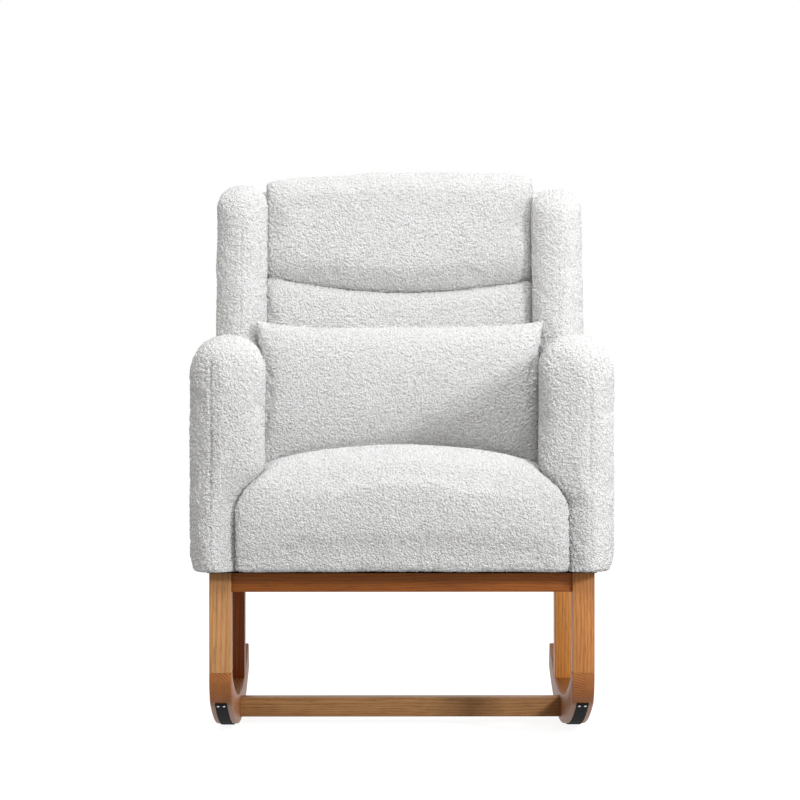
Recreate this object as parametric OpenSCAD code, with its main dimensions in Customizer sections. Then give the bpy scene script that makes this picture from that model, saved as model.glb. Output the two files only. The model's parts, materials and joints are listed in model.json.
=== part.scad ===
// Upholstered rocking chair: wooden base on two rockers, padded body, loose lumbar pillow.
// Millimetres. The chair faces -Y, X runs across it and Z is up.
// The origin is on the floor under the middle of the chair.

/* [Overall] */
// Width over the arms
body_w = 700; // [660:2:780]
// Depth from the arm noses to the outer back
body_d = 780; // [740:2:840]
// Height of the body's underside above the floor
body_z = 288; // [274:1:310]
// Height of the top of the back at its middle
back_top = 1000; // [960:1:1050]
// Lean of the back from upright, degrees
recline = 12; // [9:0.5:15]

/* [Base] */
// How far the legs stand inside the arms' outer faces
leg_inset = 28.5; // [27:0.5:45]
// Leg thickness across the chair, also the thickness of a rocker
leg_w = 37; // [32:1:42]
// Leg depth along the chair
leg_d = 45; // [38:1:52]
// Front leg's distance behind the arm noses
leg_setback = 50; // [40:1:60]
// Rear legs' distance in front of the outer back at the body's underside
rear_setback = 35.5; // [33:0.5:65]
// Height of the four rails
rail_h = 33; // [26:1:44]
// Thickness of the four rails
rail_t = 25; // [20:1:30]
// Front rail's distance behind the front face of the legs
rail_setback = 8; // [4:1:12]
// Stretcher depth along the chair
stretcher_d = 45; // [30:1:50]
// Stretcher height
stretcher_h = 34; // [26:1:38]
// Stretcher's distance behind the front face of the front legs
stretcher_back = 334; // [300:1:420]
// Height of the stretcher's underside
stretcher_z = 11; // [6:1:14]

/* [Rockers] */
// Radius of the rocker's underside
rocker_r = 900; // [820:10:1200]
// Height of the rocker measured along its radius
rocker_h = 50; // [46:1:60]
// Point of rest, measured behind the front face of the legs
rest_back = 356; // [330:1:375]
// Radius of the front curve below the front leg
toe_r = 58; // [48:1:64]
// Radius of the inner curve behind the front leg
throat_r = 10; // [6:1:16]
// Wood between the inner curve and the leg joint
joint_margin = 1; // [0.5:0.5:6]
// Tail's end, measured behind the front face of the legs
tail_back = 700; // [660:1:715]
// Rounding of the tail's corners
tail_round = 8; // [4:1:16]
// Width of the rubber tread strip
tread_w = 20; // [14:1:26]
// How far the strip stands out of the rocker
tread_out = 2; // [1:0.5:4]
// How deep the strip sits in its groove
tread_in = 3; // [2:0.5:5]
// Height of the strip's front end on the front curve
tread_top = 66; // [64:1:80]
// Length of the strip that is pressed flat at rest
tread_flat = 30; // [16:1:40]
// Wood left behind the strip's rear end
tread_end = 22; // [14:1:40]

/* [Seat] */
// Height of the seat frame boards
board_h = 70; // [56:1:90]
// Thickness of the seat frame boards
board_t = 25; // [20:1:30]
// Seat height at the middle of its crown
seat_crown = 496; // [480:1:515]
// Seat height along its sides
seat_side = 466; // [455:1:480]
// Drop of the seat from front to rear
seat_drop = 40; // [20:1:46]
// Front face of the seat behind the arm noses
seat_setback = 4; // [2:1:20]
// Rounding of the seat's front edge
seat_roll = 66; // [50:1:80]
// Height of the foam block over the springs
foam_h = 52; // [40:1:54]
// Padding left round the foam block
foam_wall = 26; // [20:1:34]
// Number of seat springs
spring_count = 5; // [3:1:6]
// Spring wire
wire_d = 3.6; // [3:0.1:4.2]
// Width of a spring over its bends
spring_w = 46; // [36:1:54]
// Number of bends of a spring
spring_bends = 15; // [11:2:19]

/* [Arms] */
// Height of the arms
arm_top = 684; // [660:1:710]
// Width of an arm behind its nose
arm_w = 98; // [94:1:112]
// How far the noses swell inwards
nose_swell = 22; // [8:1:26]
// How far the seat front spreads under the noses
seat_flare = 15; // [8:1:24]
// Rounding of the arm's top across its width
arm_round = 50; // [40:1:54]
// Rounding from the arm's top down its nose
nose_drop = 76; // [60:1:95]
// Rounding of the nose's upright edges
nose_edge = 38; // [25:1:46]
// Thickness of the side panels
panel_t = 18; // [15:1:21]
// Padding between the side panels' edges and the fabric
panel_pad = 50; // [44:1:60]
// How far the side panels stand inwards of the arms' middle
panel_shift = 7; // [2:1:12]

/* [Wings] */
// How far the wings stand inside the arms' inner faces
wing_step = 4; // [1:0.5:7]
// Thickness of a wing
wing_w = 88; // [76:1:90]
// How far the wings' tops lie below the top of the back
wing_fall = 30; // [15:1:60]
// How far the wings stand in front of the back
wing_out = 72; // [50:1:76]
// Rounding from the wing's top down its front edge
wing_drop = 80; // [60:1:100]

/* [Back] */
// Thickness of the back pads
pad_t = 72; // [60:1:84]
// Thickness of the webbing bands
band_t = 1.6; // [1:0.1:2.4]
// Width of the webbing bands
band_w = 50; // [40:1:60]
// Number of webbing bands
band_count = 5; // [3:1:6]
// Thickness of the back posts and rails
post_t = 30; // [24:1:34]
// Thickness of the outer back panel
outer_t = 10; // [6:1:14]
// Height of the seam between the pads at the middle
seam_mid = 774; // [745:1:795]
// Rise of that seam towards the sides
seam_rise = 28; // [10:1:34]
// Fall of the back's top edge towards the sides
top_fall = 23; // [10:1:34]

/* [Lumbar pillow] */
// Space between the pillow's lower corners and the arms
pillow_gap = 5; // [4:1:24]
// How far the pillow's upper corners spread on each side
ear_spread = 15; // [8:1:20]
// Height of the pillow
pillow_h = 258; // [240:1:270]
// Thickness of the pillow
pillow_t = 124; // [100:1:140]
// How far the middle of each end of the pillow is drawn in
pillow_waist = 5; // [2:1:12]
// Thickness of the pillow's cover
cover_t = 4; // [3:0.5:8]

/* [Fasteners] */
// Diameter of the leg dowels
dowel_d = 10; // [8:1:12]
// Length of a dowel
dowel_len = 44; // [36:1:50]
// Diameter of the rail and stretcher dowels
rail_dowel_d = 8; // [6:1:10]
// Shank of the base screws
screw_d = 5; // [4:0.5:6]
// Head of the base screws
screw_head = 10; // [8:0.5:12]
// Depth of the base screws' heads in the rails
screw_sink = 10; // [6:1:14]
// How far the base screws reach into the body
screw_reach = 30; // [20:1:40]
// Shank of the frame bolts
bolt_d = 8; // [6:1:8]
// Head of the frame bolts
bolt_head = 16; // [13:1:18]
// Barrel of the tee nuts
nut_d = 11; // [10:0.5:12]
// First and last frame bolt's distance from the ends of a side board
bolt_margin = 60; // [50:1:80]
// Side screws' distance from the legs' outer faces
screw_margin = 140; // [120:1:170]
// Shank of the corner screws
wood_screw_d = 4; // [3:0.5:5]
// Shank of the tread nails
nail_d = 1.8; // [1.4:0.1:2.4]

/* [Clearances] */
// Gap between a soft part and its neighbours
soft_gap = 0.5; // [0.4:0.1:1]
// Gap round a board in its pocket
pocket_gap = 0.4; // [0.3:0.1:0.8]
// Gap round a fastener in its hole
hole_gap = 0.1; // [0.05:0.05:0.3]
// Thickness of the dust cover under the body
dust_t = 1.5; // [1:0.5:3]

/* [Hidden] */
$fn = 32;

wood = "peru";
dark_wood = "sienna";
board_wood = "burlywood";
fabric = "whitesmoke";
steel = "silver";

// The back leans about a line in its front plane, at the height of the seat's side
back_depth = pad_t + band_t + post_t + outer_t;
post_w0 = pad_t + band_t;
post_w1 = post_w0 + post_t;
outer_edge = 14;
outer_v = (back_top - outer_edge - seat_side + back_depth * sin(recline)) / cos(recline);
back_y = body_d / 2 - back_depth * cos(recline) - outer_v * sin(recline);

// Height over the floor to distance up the back, at a distance w behind its front plane
function v_at(z, w) = (z - seat_side + w * sin(recline)) / cos(recline);
// Place along the chair of the plane w behind the back's front plane, at a height
function plane_y(w, z) = back_y + (z - seat_side) * tan(recline) + w / cos(recline);

// Sizes that follow the overall width and height
arm_in = body_w / 2 - arm_w;
wing_in = arm_in - wing_step;
wing_top = back_top - wing_fall;
pillow_w = 2 * (arm_in - pillow_gap);
pillow_ears = pillow_w + 2 * ear_spread;

// Places of the base
leg_y = -body_d / 2 + leg_setback;
leg_back_y = leg_y + leg_d;
rear_leg_y = plane_y(back_depth, body_z) - rear_setback - leg_d;
leg_x = body_w / 2 - leg_inset - leg_w;
leg_mid_x = leg_x + leg_w / 2;
base_top = body_z - dust_t;
rail_z = base_top - rail_h;

// The rocker's arcs: the underside's centre, then the front curve's and the inner curve's centres
tread_r = rocker_r + tread_out;
flat_angle = asin(tread_flat / 2 / tread_r);
rest = [leg_y + rest_back, tread_r * cos(flat_angle)];
top_r = rocker_r - rocker_h;
toe = [leg_y + toe_r, rest[1] - sqrt(pow(rocker_r - toe_r, 2) - pow(rest_back - toe_r, 2))];
toe_angle = atan2(toe[1] - rest[1], toe[0] - rest[0]);
throat_back = rest_back - leg_d - throat_r;
throat = [leg_back_y + throat_r, rest[1] - sqrt(pow(top_r - throat_r, 2) - pow(throat_back, 2))];
throat_angle = atan2(throat[1] - rest[1], throat[0] - rest[0]);
tail_angle = -90 + asin((tail_back - rest_back) / rocker_r);
joint_z = max(toe[1], throat[1]) + joint_margin;
toe_end = toe_angle + 360 - 4;
strip_start = min(toe_end - 8, 180 + asin(min(1, (toe[1] - tread_top) / toe_r)));
toe_steps = max(2, round((toe_end - strip_start) * PI / 180 * toe_r / 6));
strip_stop = tail_angle - tread_end / rocker_r * 180 / PI;

// Places of the seat frame and the side panels
panel_x = (arm_in + body_w / 2 - panel_t) / 2 - panel_shift;
board_x = panel_x - board_t;
board_top = body_z + board_h;
rear_board_y = rear_leg_y + (leg_d - board_t) / 2;
rear_rail_y = rear_leg_y + (leg_d - rail_t) / 2;
front_screw_y = leg_y + (rail_setback + board_t) / 2;
rear_screw_y = rear_leg_y + leg_d / 2;
side_screw_x = panel_x + panel_t / 2;
side_rail_x = side_screw_x - rail_t * 0.3;

// Places up the back and of the fasteners
post_top_v = (wing_top - panel_pad - seat_side) / cos(recline);
pad_low_v = (board_top + 1 - seat_side + pad_t * sin(recline)) / cos(recline);
wing_out_x = wing_in + wing_w;
back_rail_h = 45;
middle_rail_v = 230;
bottom_rail_v = -140;
back_rail_v = [post_top_v - back_rail_h, middle_rail_v, bottom_rail_v];
bolt_pitch = 150;
top_bolt_drop = 114;
post_bolt_v = [0, bolt_pitch, post_top_v - top_bolt_drop];
board_bolt_y = [leg_y + bolt_margin, (leg_y + rear_board_y) / 2, rear_board_y - bolt_margin];
side_screw_y = [leg_y + screw_margin, rear_leg_y + leg_d - screw_margin];
board_screw_inset = 18;
board_screw_z = [body_z + board_screw_inset, body_z + board_h - board_screw_inset];
screw_grip = 35;
cut_reach = 2 * (body_d + back_top);
nut_flange = 20;
nut_flange_t = 1.5;
nut_start = 6;
bolt_head_h = 5;

// Places of the seat cushion and what it holds
seat_front_y = -body_d / 2 + seat_setback;
seat_rear_y = plane_y(0, board_top) - soft_gap;
clip_h = 6;
wire_z = board_top + clip_h / 2;
insulator_z = board_top + clip_h + 0.4;
insulator_t = 2;
foam_z = insulator_z + insulator_t;
foam_x = arm_in - foam_wall;
foam_front_y = leg_y + foam_wall;
foam_rear_y = seat_rear_y - foam_wall;
spring_front_y = leg_y + board_t / 2;
spring_rear_y = rear_board_y + board_t / 2;
spring_pitch = (spring_rear_y - spring_front_y) / spring_bends;
spring_margin = 40;
spring_step = 2 * (foam_x - spring_margin) / max(1, spring_count - 1);

// Small helpers
function arc(c, r, a0, a1, n) =
  [for (i = [0:n]) let (a = a0 + (a1 - a0) * i / n) [c[0] + r * cos(a), c[1] + r * sin(a)]];
function turned(list) = [for (i = [len(list) - 1:-1:0]) list[i]];
function clamp01(t) = max(0, min(1, t));
function smooth(t) = let (s = clamp01(t)) s * s * (3 - 2 * s);
function spow(c, e) = sign(c) * pow(abs(c), e);
function mix(a, b, t) = a + (b - a) * t;
function sum(list, i = 0, acc = [0, 0, 0]) = i == len(list) ? acc : sum(list, i + 1, acc + list[i]);
function mean(list) = sum(list) / len(list);
// Inset of a quarter-round edge of radius r at a distance t from the end
function round_inset(t, r) = t >= r ? 0 : r - sqrt(max(0, r * r - (r - t) * (r - t)));

module along_x(x0, length) {
  translate([x0, 0, 0]) rotate([90, 0, 90]) linear_extrude(length) children();
}

module both_sides() {
  children();
  mirror([1, 0, 0]) children();
}

// Leaning frame of the back: X across, Y through its thickness to the rear, Z up along it
module in_back() {
  translate([0, back_y, seat_side]) rotate([-recline, 0, 0]) children();
}

// A bar along X from x0 to x1 at a place in the other two directions
module rod_x(x0, x1, y, z, d) {
  translate([x0, y, z]) rotate([0, 90, 0]) cylinder(h = x1 - x0, d = d);
}

module rod_y(y0, y1, x, z, d) {
  translate([x, y0, z]) rotate([-90, 0, 0]) cylinder(h = y1 - y0, d = d);
}

// A closed skin through rings of equally many points, with a fan over each end. The fan starts
// at the ring's mean point, or half way between its first point and the one opposite it.
module loft(rings, waist = false) {
  n = len(rings);
  m = len(rings[0]);
  points = concat([for (r = rings) each r],
    [for (r = [rings[0], rings[n - 1]]) waist ? (r[0] + r[m / 2]) / 2 : mean(r)]);
  sides = [for (i = [0:n - 2], j = [0:m - 1]) let (k = (j + 1) % m)
    each [[i * m + j, (i + 1) * m + j, i * m + k], [i * m + k, (i + 1) * m + j, (i + 1) * m + k]]];
  ends = [for (j = [0:m - 1]) let (k = (j + 1) % m)
    each [[j, k, n * m], [(n - 1) * m + k, (n - 1) * m + j, n * m + 1]]];
  polyhedron(points, concat(sides, ends));
}

// Everything under the body's underside, for cutting leaning pieces flat
module below_body() {
  translate([-body_w, -body_d, body_z - cut_reach]) cube([2 * body_w, 2 * body_d, cut_reach]);
}

// Rockers
tail_b = tail_angle - tail_round / (rocker_r - tail_round) * 180 / PI;
tail_t = tail_angle - tail_round / (top_r + tail_round) * 180 / PI;
function on_rocker(r, a) = [rest[0] + r * cos(a), rest[1] + r * sin(a)];
function rocker_low_z(y) = rest[1] - sqrt(pow(rocker_r, 2) - pow(y - rest[0], 2));
function rocker_top_z(y) = rest[1] - sqrt(pow(top_r, 2) - pow(y - rest[0], 2));
function rocker_outline() = concat(
  [[leg_y, joint_z]],
  arc(toe, toe_r, 180, toe_angle + 360, 12),
  arc(rest, rocker_r, toe_angle + 1, tail_b, 24),
  arc(on_rocker(rocker_r - tail_round, tail_b), tail_round, tail_angle, tail_angle + 90, 4),
  arc(on_rocker(top_r + tail_round, tail_t), tail_round, tail_angle + 90, tail_angle + 180, 4),
  arc(rest, top_r, tail_t - 0.4, throat_angle, 24),
  arc(throat, throat_r, throat_angle + 360 - 8, 180, 8),
  [[leg_back_y, joint_z]]);

// The strip follows the front curve and the underside, and is flat where the chair rests
function tread_path(r_toe, r_low) = concat(
  arc(toe, r_toe, strip_start, toe_end, toe_steps),
  arc(rest, r_low, toe_angle, -90 - flat_angle, 14),
  arc(rest, r_low, -90 + flat_angle, strip_stop, 14));
function tread_band(out) = concat(
  tread_path(toe_r + out, rocker_r + out),
  turned(tread_path(toe_r - tread_in, rocker_r - tread_in)));

nail_head = 2.6 * nail_d;
nail_head_h = 0.8;
nail_len = 15;
nail_inset = 7.5;
// Each nail: its arc's centre, its radius on the strip's face and its angle
nail_spots = [
  [toe, toe_r + tread_out, strip_start + nail_inset / toe_r * 180 / PI],
  [rest, tread_r, strip_stop - nail_inset / rocker_r * 180 / PI]];

module at_nails() {
  for (spot = nail_spots, x = [-tread_w / 4, tread_w / 4])
    translate([leg_mid_x + x, spot[0][0] + spot[1] * cos(spot[2]), spot[0][1] + spot[1] * sin(spot[2])])
      rotate([spot[2] - 90, 0, 0]) children();
}

module nail() {
  cylinder(h = nail_head_h, d = nail_head);
  translate([0, 0, -nail_len]) cylinder(h = nail_len + 0.2, d = nail_d);
}

module at_leg_dowels() {
  front_y = leg_y + leg_d / 2;
  rear_y = rear_leg_y + leg_d / 2;
  for (dy = [-leg_d / 4, leg_d / 4]) {
    translate([leg_mid_x, front_y + dy, joint_z]) children();
    translate([leg_mid_x, rear_y + dy, rocker_top_z(rear_y + dy)]) children();
  }
}

module leg_dowel(gap) {
  translate([0, 0, -dowel_len / 2 - gap]) cylinder(h = dowel_len + 2 * gap, d = dowel_d + 2 * gap);
}

// Dowels of the rails on the right side; the gap is added round them for their holes
module rail_dowel_set(gap) {
  d = rail_dowel_d + 2 * gap;
  reach = dowel_len / 2 - 4 + gap;
  for (z = [rail_z + rail_h * 0.25, rail_z + rail_h * 0.75]) {
    rod_x(leg_x - reach, leg_x + reach, leg_y + rail_setback + rail_t / 2, z, d);
    rod_x(leg_x - reach, leg_x + reach, rear_rail_y + rail_t / 2, z, d);
  }
  side_x = side_rail_x + rail_t / 2;
  side_reach = 10 + gap;
  rod_y(leg_back_y - side_reach, leg_back_y + side_reach, side_x, rail_z + rail_h / 2, d);
  rod_y(rear_leg_y - side_reach, rear_leg_y + side_reach, side_x, rail_z + rail_h / 2, d);
}

module stretcher_dowel_set(gap) {
  d = rail_dowel_d + 2 * gap;
  reach = dowel_len / 2 - 4 + gap;
  y = leg_y + stretcher_back + stretcher_d / 2;
  for (z = [stretcher_z + stretcher_h * 0.28, stretcher_z + stretcher_h * 0.72])
    rod_x(leg_x - reach, leg_x + reach, y, z, d);
}

module tread_nails() {
  color(steel) both_sides() at_nails() nail();
}

module leg_dowels() {
  color(dark_wood) both_sides() at_leg_dowels() leg_dowel(0);
}

module rail_dowels() {
  color(dark_wood) both_sides() rail_dowel_set(0);
}

module stretcher_dowels() {
  color(dark_wood) both_sides() stretcher_dowel_set(0);
}

module rocker() {
  color(wood) difference() {
    along_x(leg_x, leg_w) polygon(rocker_outline());
    along_x(leg_mid_x - tread_w / 2, tread_w) polygon(tread_band(tread_out + 1));
    at_nails() translate([0, 0, -nail_len - 1]) cylinder(h = nail_len + 2, d = nail_d + 2 * hole_gap);
    at_leg_dowels() leg_dowel(hole_gap);
    stretcher_dowel_set(hole_gap);
  }
}

module tread_strip() {
  color("black") difference() {
    along_x(leg_mid_x - tread_w / 2, tread_w) polygon(tread_band(tread_out));
    at_nails() translate([0, 0, -nail_len]) cylinder(h = 2 * nail_len, d = nail_d + 2 * hole_gap);
  }
}

module front_leg() {
  color(wood) difference() {
    translate([leg_x, leg_y, joint_z]) cube([leg_w, leg_d, base_top - joint_z]);
    at_leg_dowels() leg_dowel(hole_gap);
    rail_dowel_set(hole_gap);
  }
}

module rear_leg() {
  foot_z = rocker_low_z(rear_leg_y) + rocker_h / 2;
  color(wood) difference() {
    translate([leg_x, rear_leg_y, foot_z]) cube([leg_w, leg_d, base_top - foot_z]);
    along_x(leg_x - 1, leg_w + 2) polygon(rocker_outline());
    at_leg_dowels() leg_dowel(hole_gap);
    rail_dowel_set(hole_gap);
  }
}

// Screws of the base: each place is [x, y]
cross_screw_x = [-leg_x * 0.62, 0, leg_x * 0.62];
cross_screws = concat(
  [for (x = cross_screw_x) [x, front_screw_y]],
  [for (x = cross_screw_x) [x, rear_screw_y]]);
side_screws = [for (y = side_screw_y) [side_screw_x, y]];
all_base_screws = concat(cross_screws, side_screws, [for (s = side_screws) [-s[0], s[1]]]);

module base_screw_holes() {
  for (s = all_base_screws) translate([s[0], s[1], 0]) {
    translate([0, 0, rail_z - 1]) cylinder(h = screw_sink + 1, d = screw_head + 2);
    translate([0, 0, rail_z]) cylinder(h = body_z + screw_reach + 1 - rail_z, d = screw_d + 2 * hole_gap);
  }
}

module base_screws() {
  color(steel) for (s = all_base_screws) translate([s[0], s[1], 0]) {
    translate([0, 0, rail_z + screw_sink - 4]) cylinder(h = 4, d = screw_head);
    translate([0, 0, rail_z + screw_sink - 1])
      cylinder(h = body_z + screw_reach - rail_z - screw_sink + 1, d = screw_d);
  }
}

module front_rail() {
  color(wood) difference() {
    translate([-leg_x, leg_y + rail_setback, rail_z]) cube([2 * leg_x, rail_t, rail_h]);
    both_sides() rail_dowel_set(hole_gap);
    base_screw_holes();
  }
}

module rear_rail() {
  color(wood) difference() {
    translate([-leg_x, rear_rail_y, rail_z]) cube([2 * leg_x, rail_t, rail_h]);
    both_sides() rail_dowel_set(hole_gap);
    base_screw_holes();
  }
}

module side_rail() {
  color(wood) difference() {
    translate([side_rail_x, leg_back_y, rail_z]) cube([rail_t, rear_leg_y - leg_back_y, rail_h]);
    rail_dowel_set(hole_gap);
    base_screw_holes();
  }
}

module stretcher() {
  color(wood) difference() {
    translate([-leg_x, leg_y + stretcher_back, stretcher_z]) cube([2 * leg_x, stretcher_d, stretcher_h]);
    both_sides() stretcher_dowel_set(hole_gap);
  }
}

dust_inset = 10;
module dust_cover() {
  x = body_w / 2 - dust_inset;
  front = -body_d / 2 + dust_inset;
  rear = plane_y(back_depth, body_z) - dust_inset;
  color("dimgray") difference() {
    translate([-x, front, base_top]) cube([2 * x, rear - front, dust_t]);
    base_screw_holes();
  }
}

// Seat frame
module frame_bolt() {
  rod_x(board_x - bolt_head_h, board_x, 0, 0, bolt_head);
  rod_x(board_x - 1, panel_x + panel_t - 2, 0, 0, bolt_d);
}

module frame_bolt_hole() {
  rod_x(board_x - 1, panel_x + nut_start + 1, 0, 0, bolt_d + 2 * hole_gap);
}

module tee_nut(gap) {
  end = panel_x + panel_t;
  difference() {
    union() {
      rod_x(panel_x + nut_start - gap, end - nut_flange_t + 0.1, 0, 0, nut_d + 2 * gap);
      rod_x(end - nut_flange_t - gap, end + gap, 0, 0, nut_flange + 2 * gap);
    }
    if (gap == 0) rod_x(panel_x, end + 1, 0, 0, bolt_d + 2 * hole_gap);
  }
}

module at_bolts() {
  for (y = board_bolt_y) translate([0, y, body_z + board_h / 2]) children();
  in_back() for (v = post_bolt_v) translate([0, post_w0 + post_t / 2, v]) children();
}

module frame_bolts() {
  color(steel) both_sides() at_bolts() frame_bolt();
}

module tee_nuts() {
  color(steel) both_sides() at_bolts() tee_nut(0);
}

// A countersunk wood screw along X, driven inwards from the outer face of a board
module wood_screw(gap) {
  d = wood_screw_d + 2 * gap;
  rod_x(board_x - screw_grip - gap, panel_x - 2, 0, 0, d);
  rod_x(panel_x - 2.5 - gap, panel_x, 0, 0, 2 * d);
}

module at_corner_screws() {
  for (z = board_screw_z) {
    translate([0, leg_y + board_t / 2, z]) children();
    translate([0, rear_board_y + board_t / 2, z]) children();
  }
}

module corner_screws() {
  color(steel) both_sides() at_corner_screws() wood_screw(0);
}

module at_back_screws() {
  in_back() for (v = back_rail_v, dv = [back_rail_h * 0.25, back_rail_h * 0.75])
    translate([0, post_w0 + post_t / 2, v + dv]) children();
}

module back_screws() {
  color(steel) both_sides() at_back_screws() wood_screw(0);
}

module cross_board(y) {
  color(board_wood) difference() {
    translate([-board_x, y, body_z]) cube([2 * board_x, board_t, board_h]);
    both_sides() at_corner_screws() wood_screw(hole_gap);
    base_screw_holes();
  }
}

module side_board() {
  color(board_wood) difference() {
    translate([board_x, leg_y, body_z]) cube([board_t, rear_board_y + board_t - leg_y, board_h]);
    at_corner_screws() wood_screw(hole_gap);
    at_bolts() frame_bolt_hole();
  }
}

// Side panel: the arm's board and the wing's board in one sheet, grown by g for its pocket
function panel_outline(g) =
  let (z_arm = arm_top - panel_pad + g, z_wing = wing_top - panel_pad + g,
       w_front = panel_pad - wing_out - g, w_rear = post_w1 + g)
  [[leg_y - g, body_z - g], [plane_y(w_rear, body_z - g), body_z - g], [plane_y(w_rear, z_wing), z_wing],
   [plane_y(w_front, z_wing), z_wing], [plane_y(w_front, z_arm), z_arm], [leg_y - g, z_arm]];

module side_panel() {
  color(board_wood) difference() {
    along_x(panel_x, panel_t) polygon(panel_outline(0));
    at_bolts() frame_bolt_hole();
    at_bolts() tee_nut(hole_gap);
    base_screw_holes();
  }
}

module panel_pocket() {
  along_x(panel_x - pocket_gap, panel_t + 2 * pocket_gap) polygon(panel_outline(pocket_gap));
}

module back_post() {
  color(board_wood) difference() {
    in_back() translate([board_x, post_w0, post_top_v - back_top])
      cube([board_t, post_t, back_top]);
    below_body();
    at_bolts() frame_bolt_hole();
    at_back_screws() wood_screw(hole_gap);
  }
}

module back_rail(v) {
  color(board_wood) difference() {
    in_back() translate([-board_x, post_w0, v]) cube([2 * board_x, post_t, back_rail_h]);
    both_sides() at_back_screws() wood_screw(hole_gap);
  }
}

band_overlap = 20;
module back_webbing() {
  step = (post_top_v - back_rail_h - band_w - 10) / (band_count - 1);
  x = board_x + band_overlap;
  color("tan") in_back() for (i = [0:band_count - 1])
    translate([-x, pad_t, 10 + i * step]) cube([2 * x, band_t, band_w]);
}

// Seat springs: a flat zigzag of round wire with half-circle bends
function spring_path() =
  let (r = spring_pitch / 2, reach = spring_w / 2 - r)
  concat([[-reach - r / 2, spring_front_y]],
    [for (i = [0:spring_bends - 1], a = [-90:45:90]) let (s = i % 2 == 0 ? 1 : -1)
      [s * (reach + r * cos(a)), spring_front_y + i * spring_pitch + r + r * sin(a)]],
    [[(spring_bends % 2 == 0 ? 1 : -1) * (reach + r / 2), spring_rear_y]]);
function wire_rings(path, r) =
  [for (i = [0:len(path) - 1])
    let (a = path[max(0, i - 1)], b = path[min(len(path) - 1, i + 1)],
         t = (b - a) / norm(b - a), p = path[i])
    [for (q = [0:5]) [p[0] - r * t[1] * cos(60 * q), p[1] + r * t[0] * cos(60 * q), r * sin(60 * q)]]];

module at_springs() {
  for (i = [0:spring_count - 1])
    translate([(i - (spring_count - 1) / 2) * spring_step, 0, wire_z]) children();
}

module seat_springs() {
  color(steel) at_springs() loft(wire_rings(spring_path(), wire_d / 2));
}

// The clips hold the straight ends of the wire, which reach further to one side
clip_w = 16;
clip_d = 10;
clip_shift = -spring_pitch / 8;
module spring_clips() {
  color(steel) at_springs() for (y = [spring_front_y, spring_rear_y])
    translate([clip_shift, y, 0]) difference() {
      translate([-clip_w / 2, -clip_d / 2, -clip_h / 2]) cube([clip_w, clip_d, clip_h]);
      rod_x(-clip_w, clip_w, 0, 0, wire_d + 4 * hole_gap);
    }
}

module spring_insulator() {
  color("tan") translate([-foam_x, foam_front_y, insulator_z])
    cube([2 * foam_x, foam_rear_y - foam_front_y, insulator_t]);
}

module seat_foam() {
  color("khaki") translate([-foam_x, foam_front_y, foam_z])
    cube([2 * foam_x, foam_rear_y - foam_front_y, foam_h]);
}

// Half the space between the arms: the noses swell inwards above the seat and
// the seat front spreads under them
nose_start = 60;
nose_fade = 150;
function nose_share(y) = 1 - smooth((y + body_d / 2 - nose_start) / nose_fade);
function low_share(z) = smooth((seat_side + 2 - z) / 78);
function inner_x(y, z) =
  arm_in + nose_share(y) * mix(-nose_swell, seat_flare, low_share(z));

// Seat height over the share u across and the place y along the chair
seat_side_roll = 14;
seat_roll_start = 0.86;
function seat_z(u, y) =
  let (t = clamp01((y - seat_front_y) / (seat_rear_y - seat_front_y)))
  mix(seat_side, seat_crown, 1 - u * u) - seat_drop * pow(t, 1.5);
function end_round(u) =
  let (t = clamp01((abs(u) - seat_roll_start) / (1 - seat_roll_start))) 1 - sqrt(max(0, 1 - t * t));

// One upright slice of the seat cushion at the share u of its half width
function seat_slice(u) =
  let (fall = seat_side_roll * end_round(u), y0 = seat_front_y + 0.8 * seat_side_roll * end_round(u),
       y1 = seat_rear_y, low = body_z, edge = 12, r = seat_roll,
       top0 = seat_z(u, y0 + r) - fall,
       profile = concat(
         [for (a = [180:-15:90]) [y0 + r + r * cos(a), top0 - r + r * sin(a)]],
         [for (k = [1:5]) let (y = mix(y0 + r, y1 - 20, k / 5)) [y, seat_z(u, y) - fall]],
         [[y1 - 5, seat_z(u, y1) - fall - 6], [y1, seat_z(u, y1) - fall - 22]],
         [[y1, low + board_h], [leg_y, low]],
         [for (a = [270:-30:180]) [y0 + edge + edge * cos(a), low + edge + edge * sin(a)]],
         [[y0 - 2, mix(low, top0 - r, 0.4)], [y0 - 3, mix(low, top0 - r, 0.7)]]))
  [for (p = profile) [u * (inner_x(p[0], p[1]) - soft_gap), p[0], p[1]]];

seat_shares = [0, 0.3, 0.55, 0.75, 0.86, 0.92, 0.96, 0.985, 1];
module seat_cushion() {
  shares = concat(turned([for (u = seat_shares) if (u > 0) -u]), seat_shares);
  gap = pocket_gap;
  color(fabric) difference() {
    loft(turned([for (u = shares) seat_slice(u)]));
    both_sides() arm_form(soft_gap);
    translate([-body_w, leg_y - gap, body_z - 50]) cube([2 * body_w, body_d, board_h + 50 + gap]);
    translate([-foam_x - gap, leg_y - gap, body_z])
      cube([2 * (foam_x + gap), body_d, foam_z - body_z + gap]);
    translate([-foam_x - gap, foam_front_y - gap, body_z])
      cube([2 * (foam_x + gap), foam_rear_y - foam_front_y + 2 * gap, foam_z + foam_h + gap - body_z]);
  }
}

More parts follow.
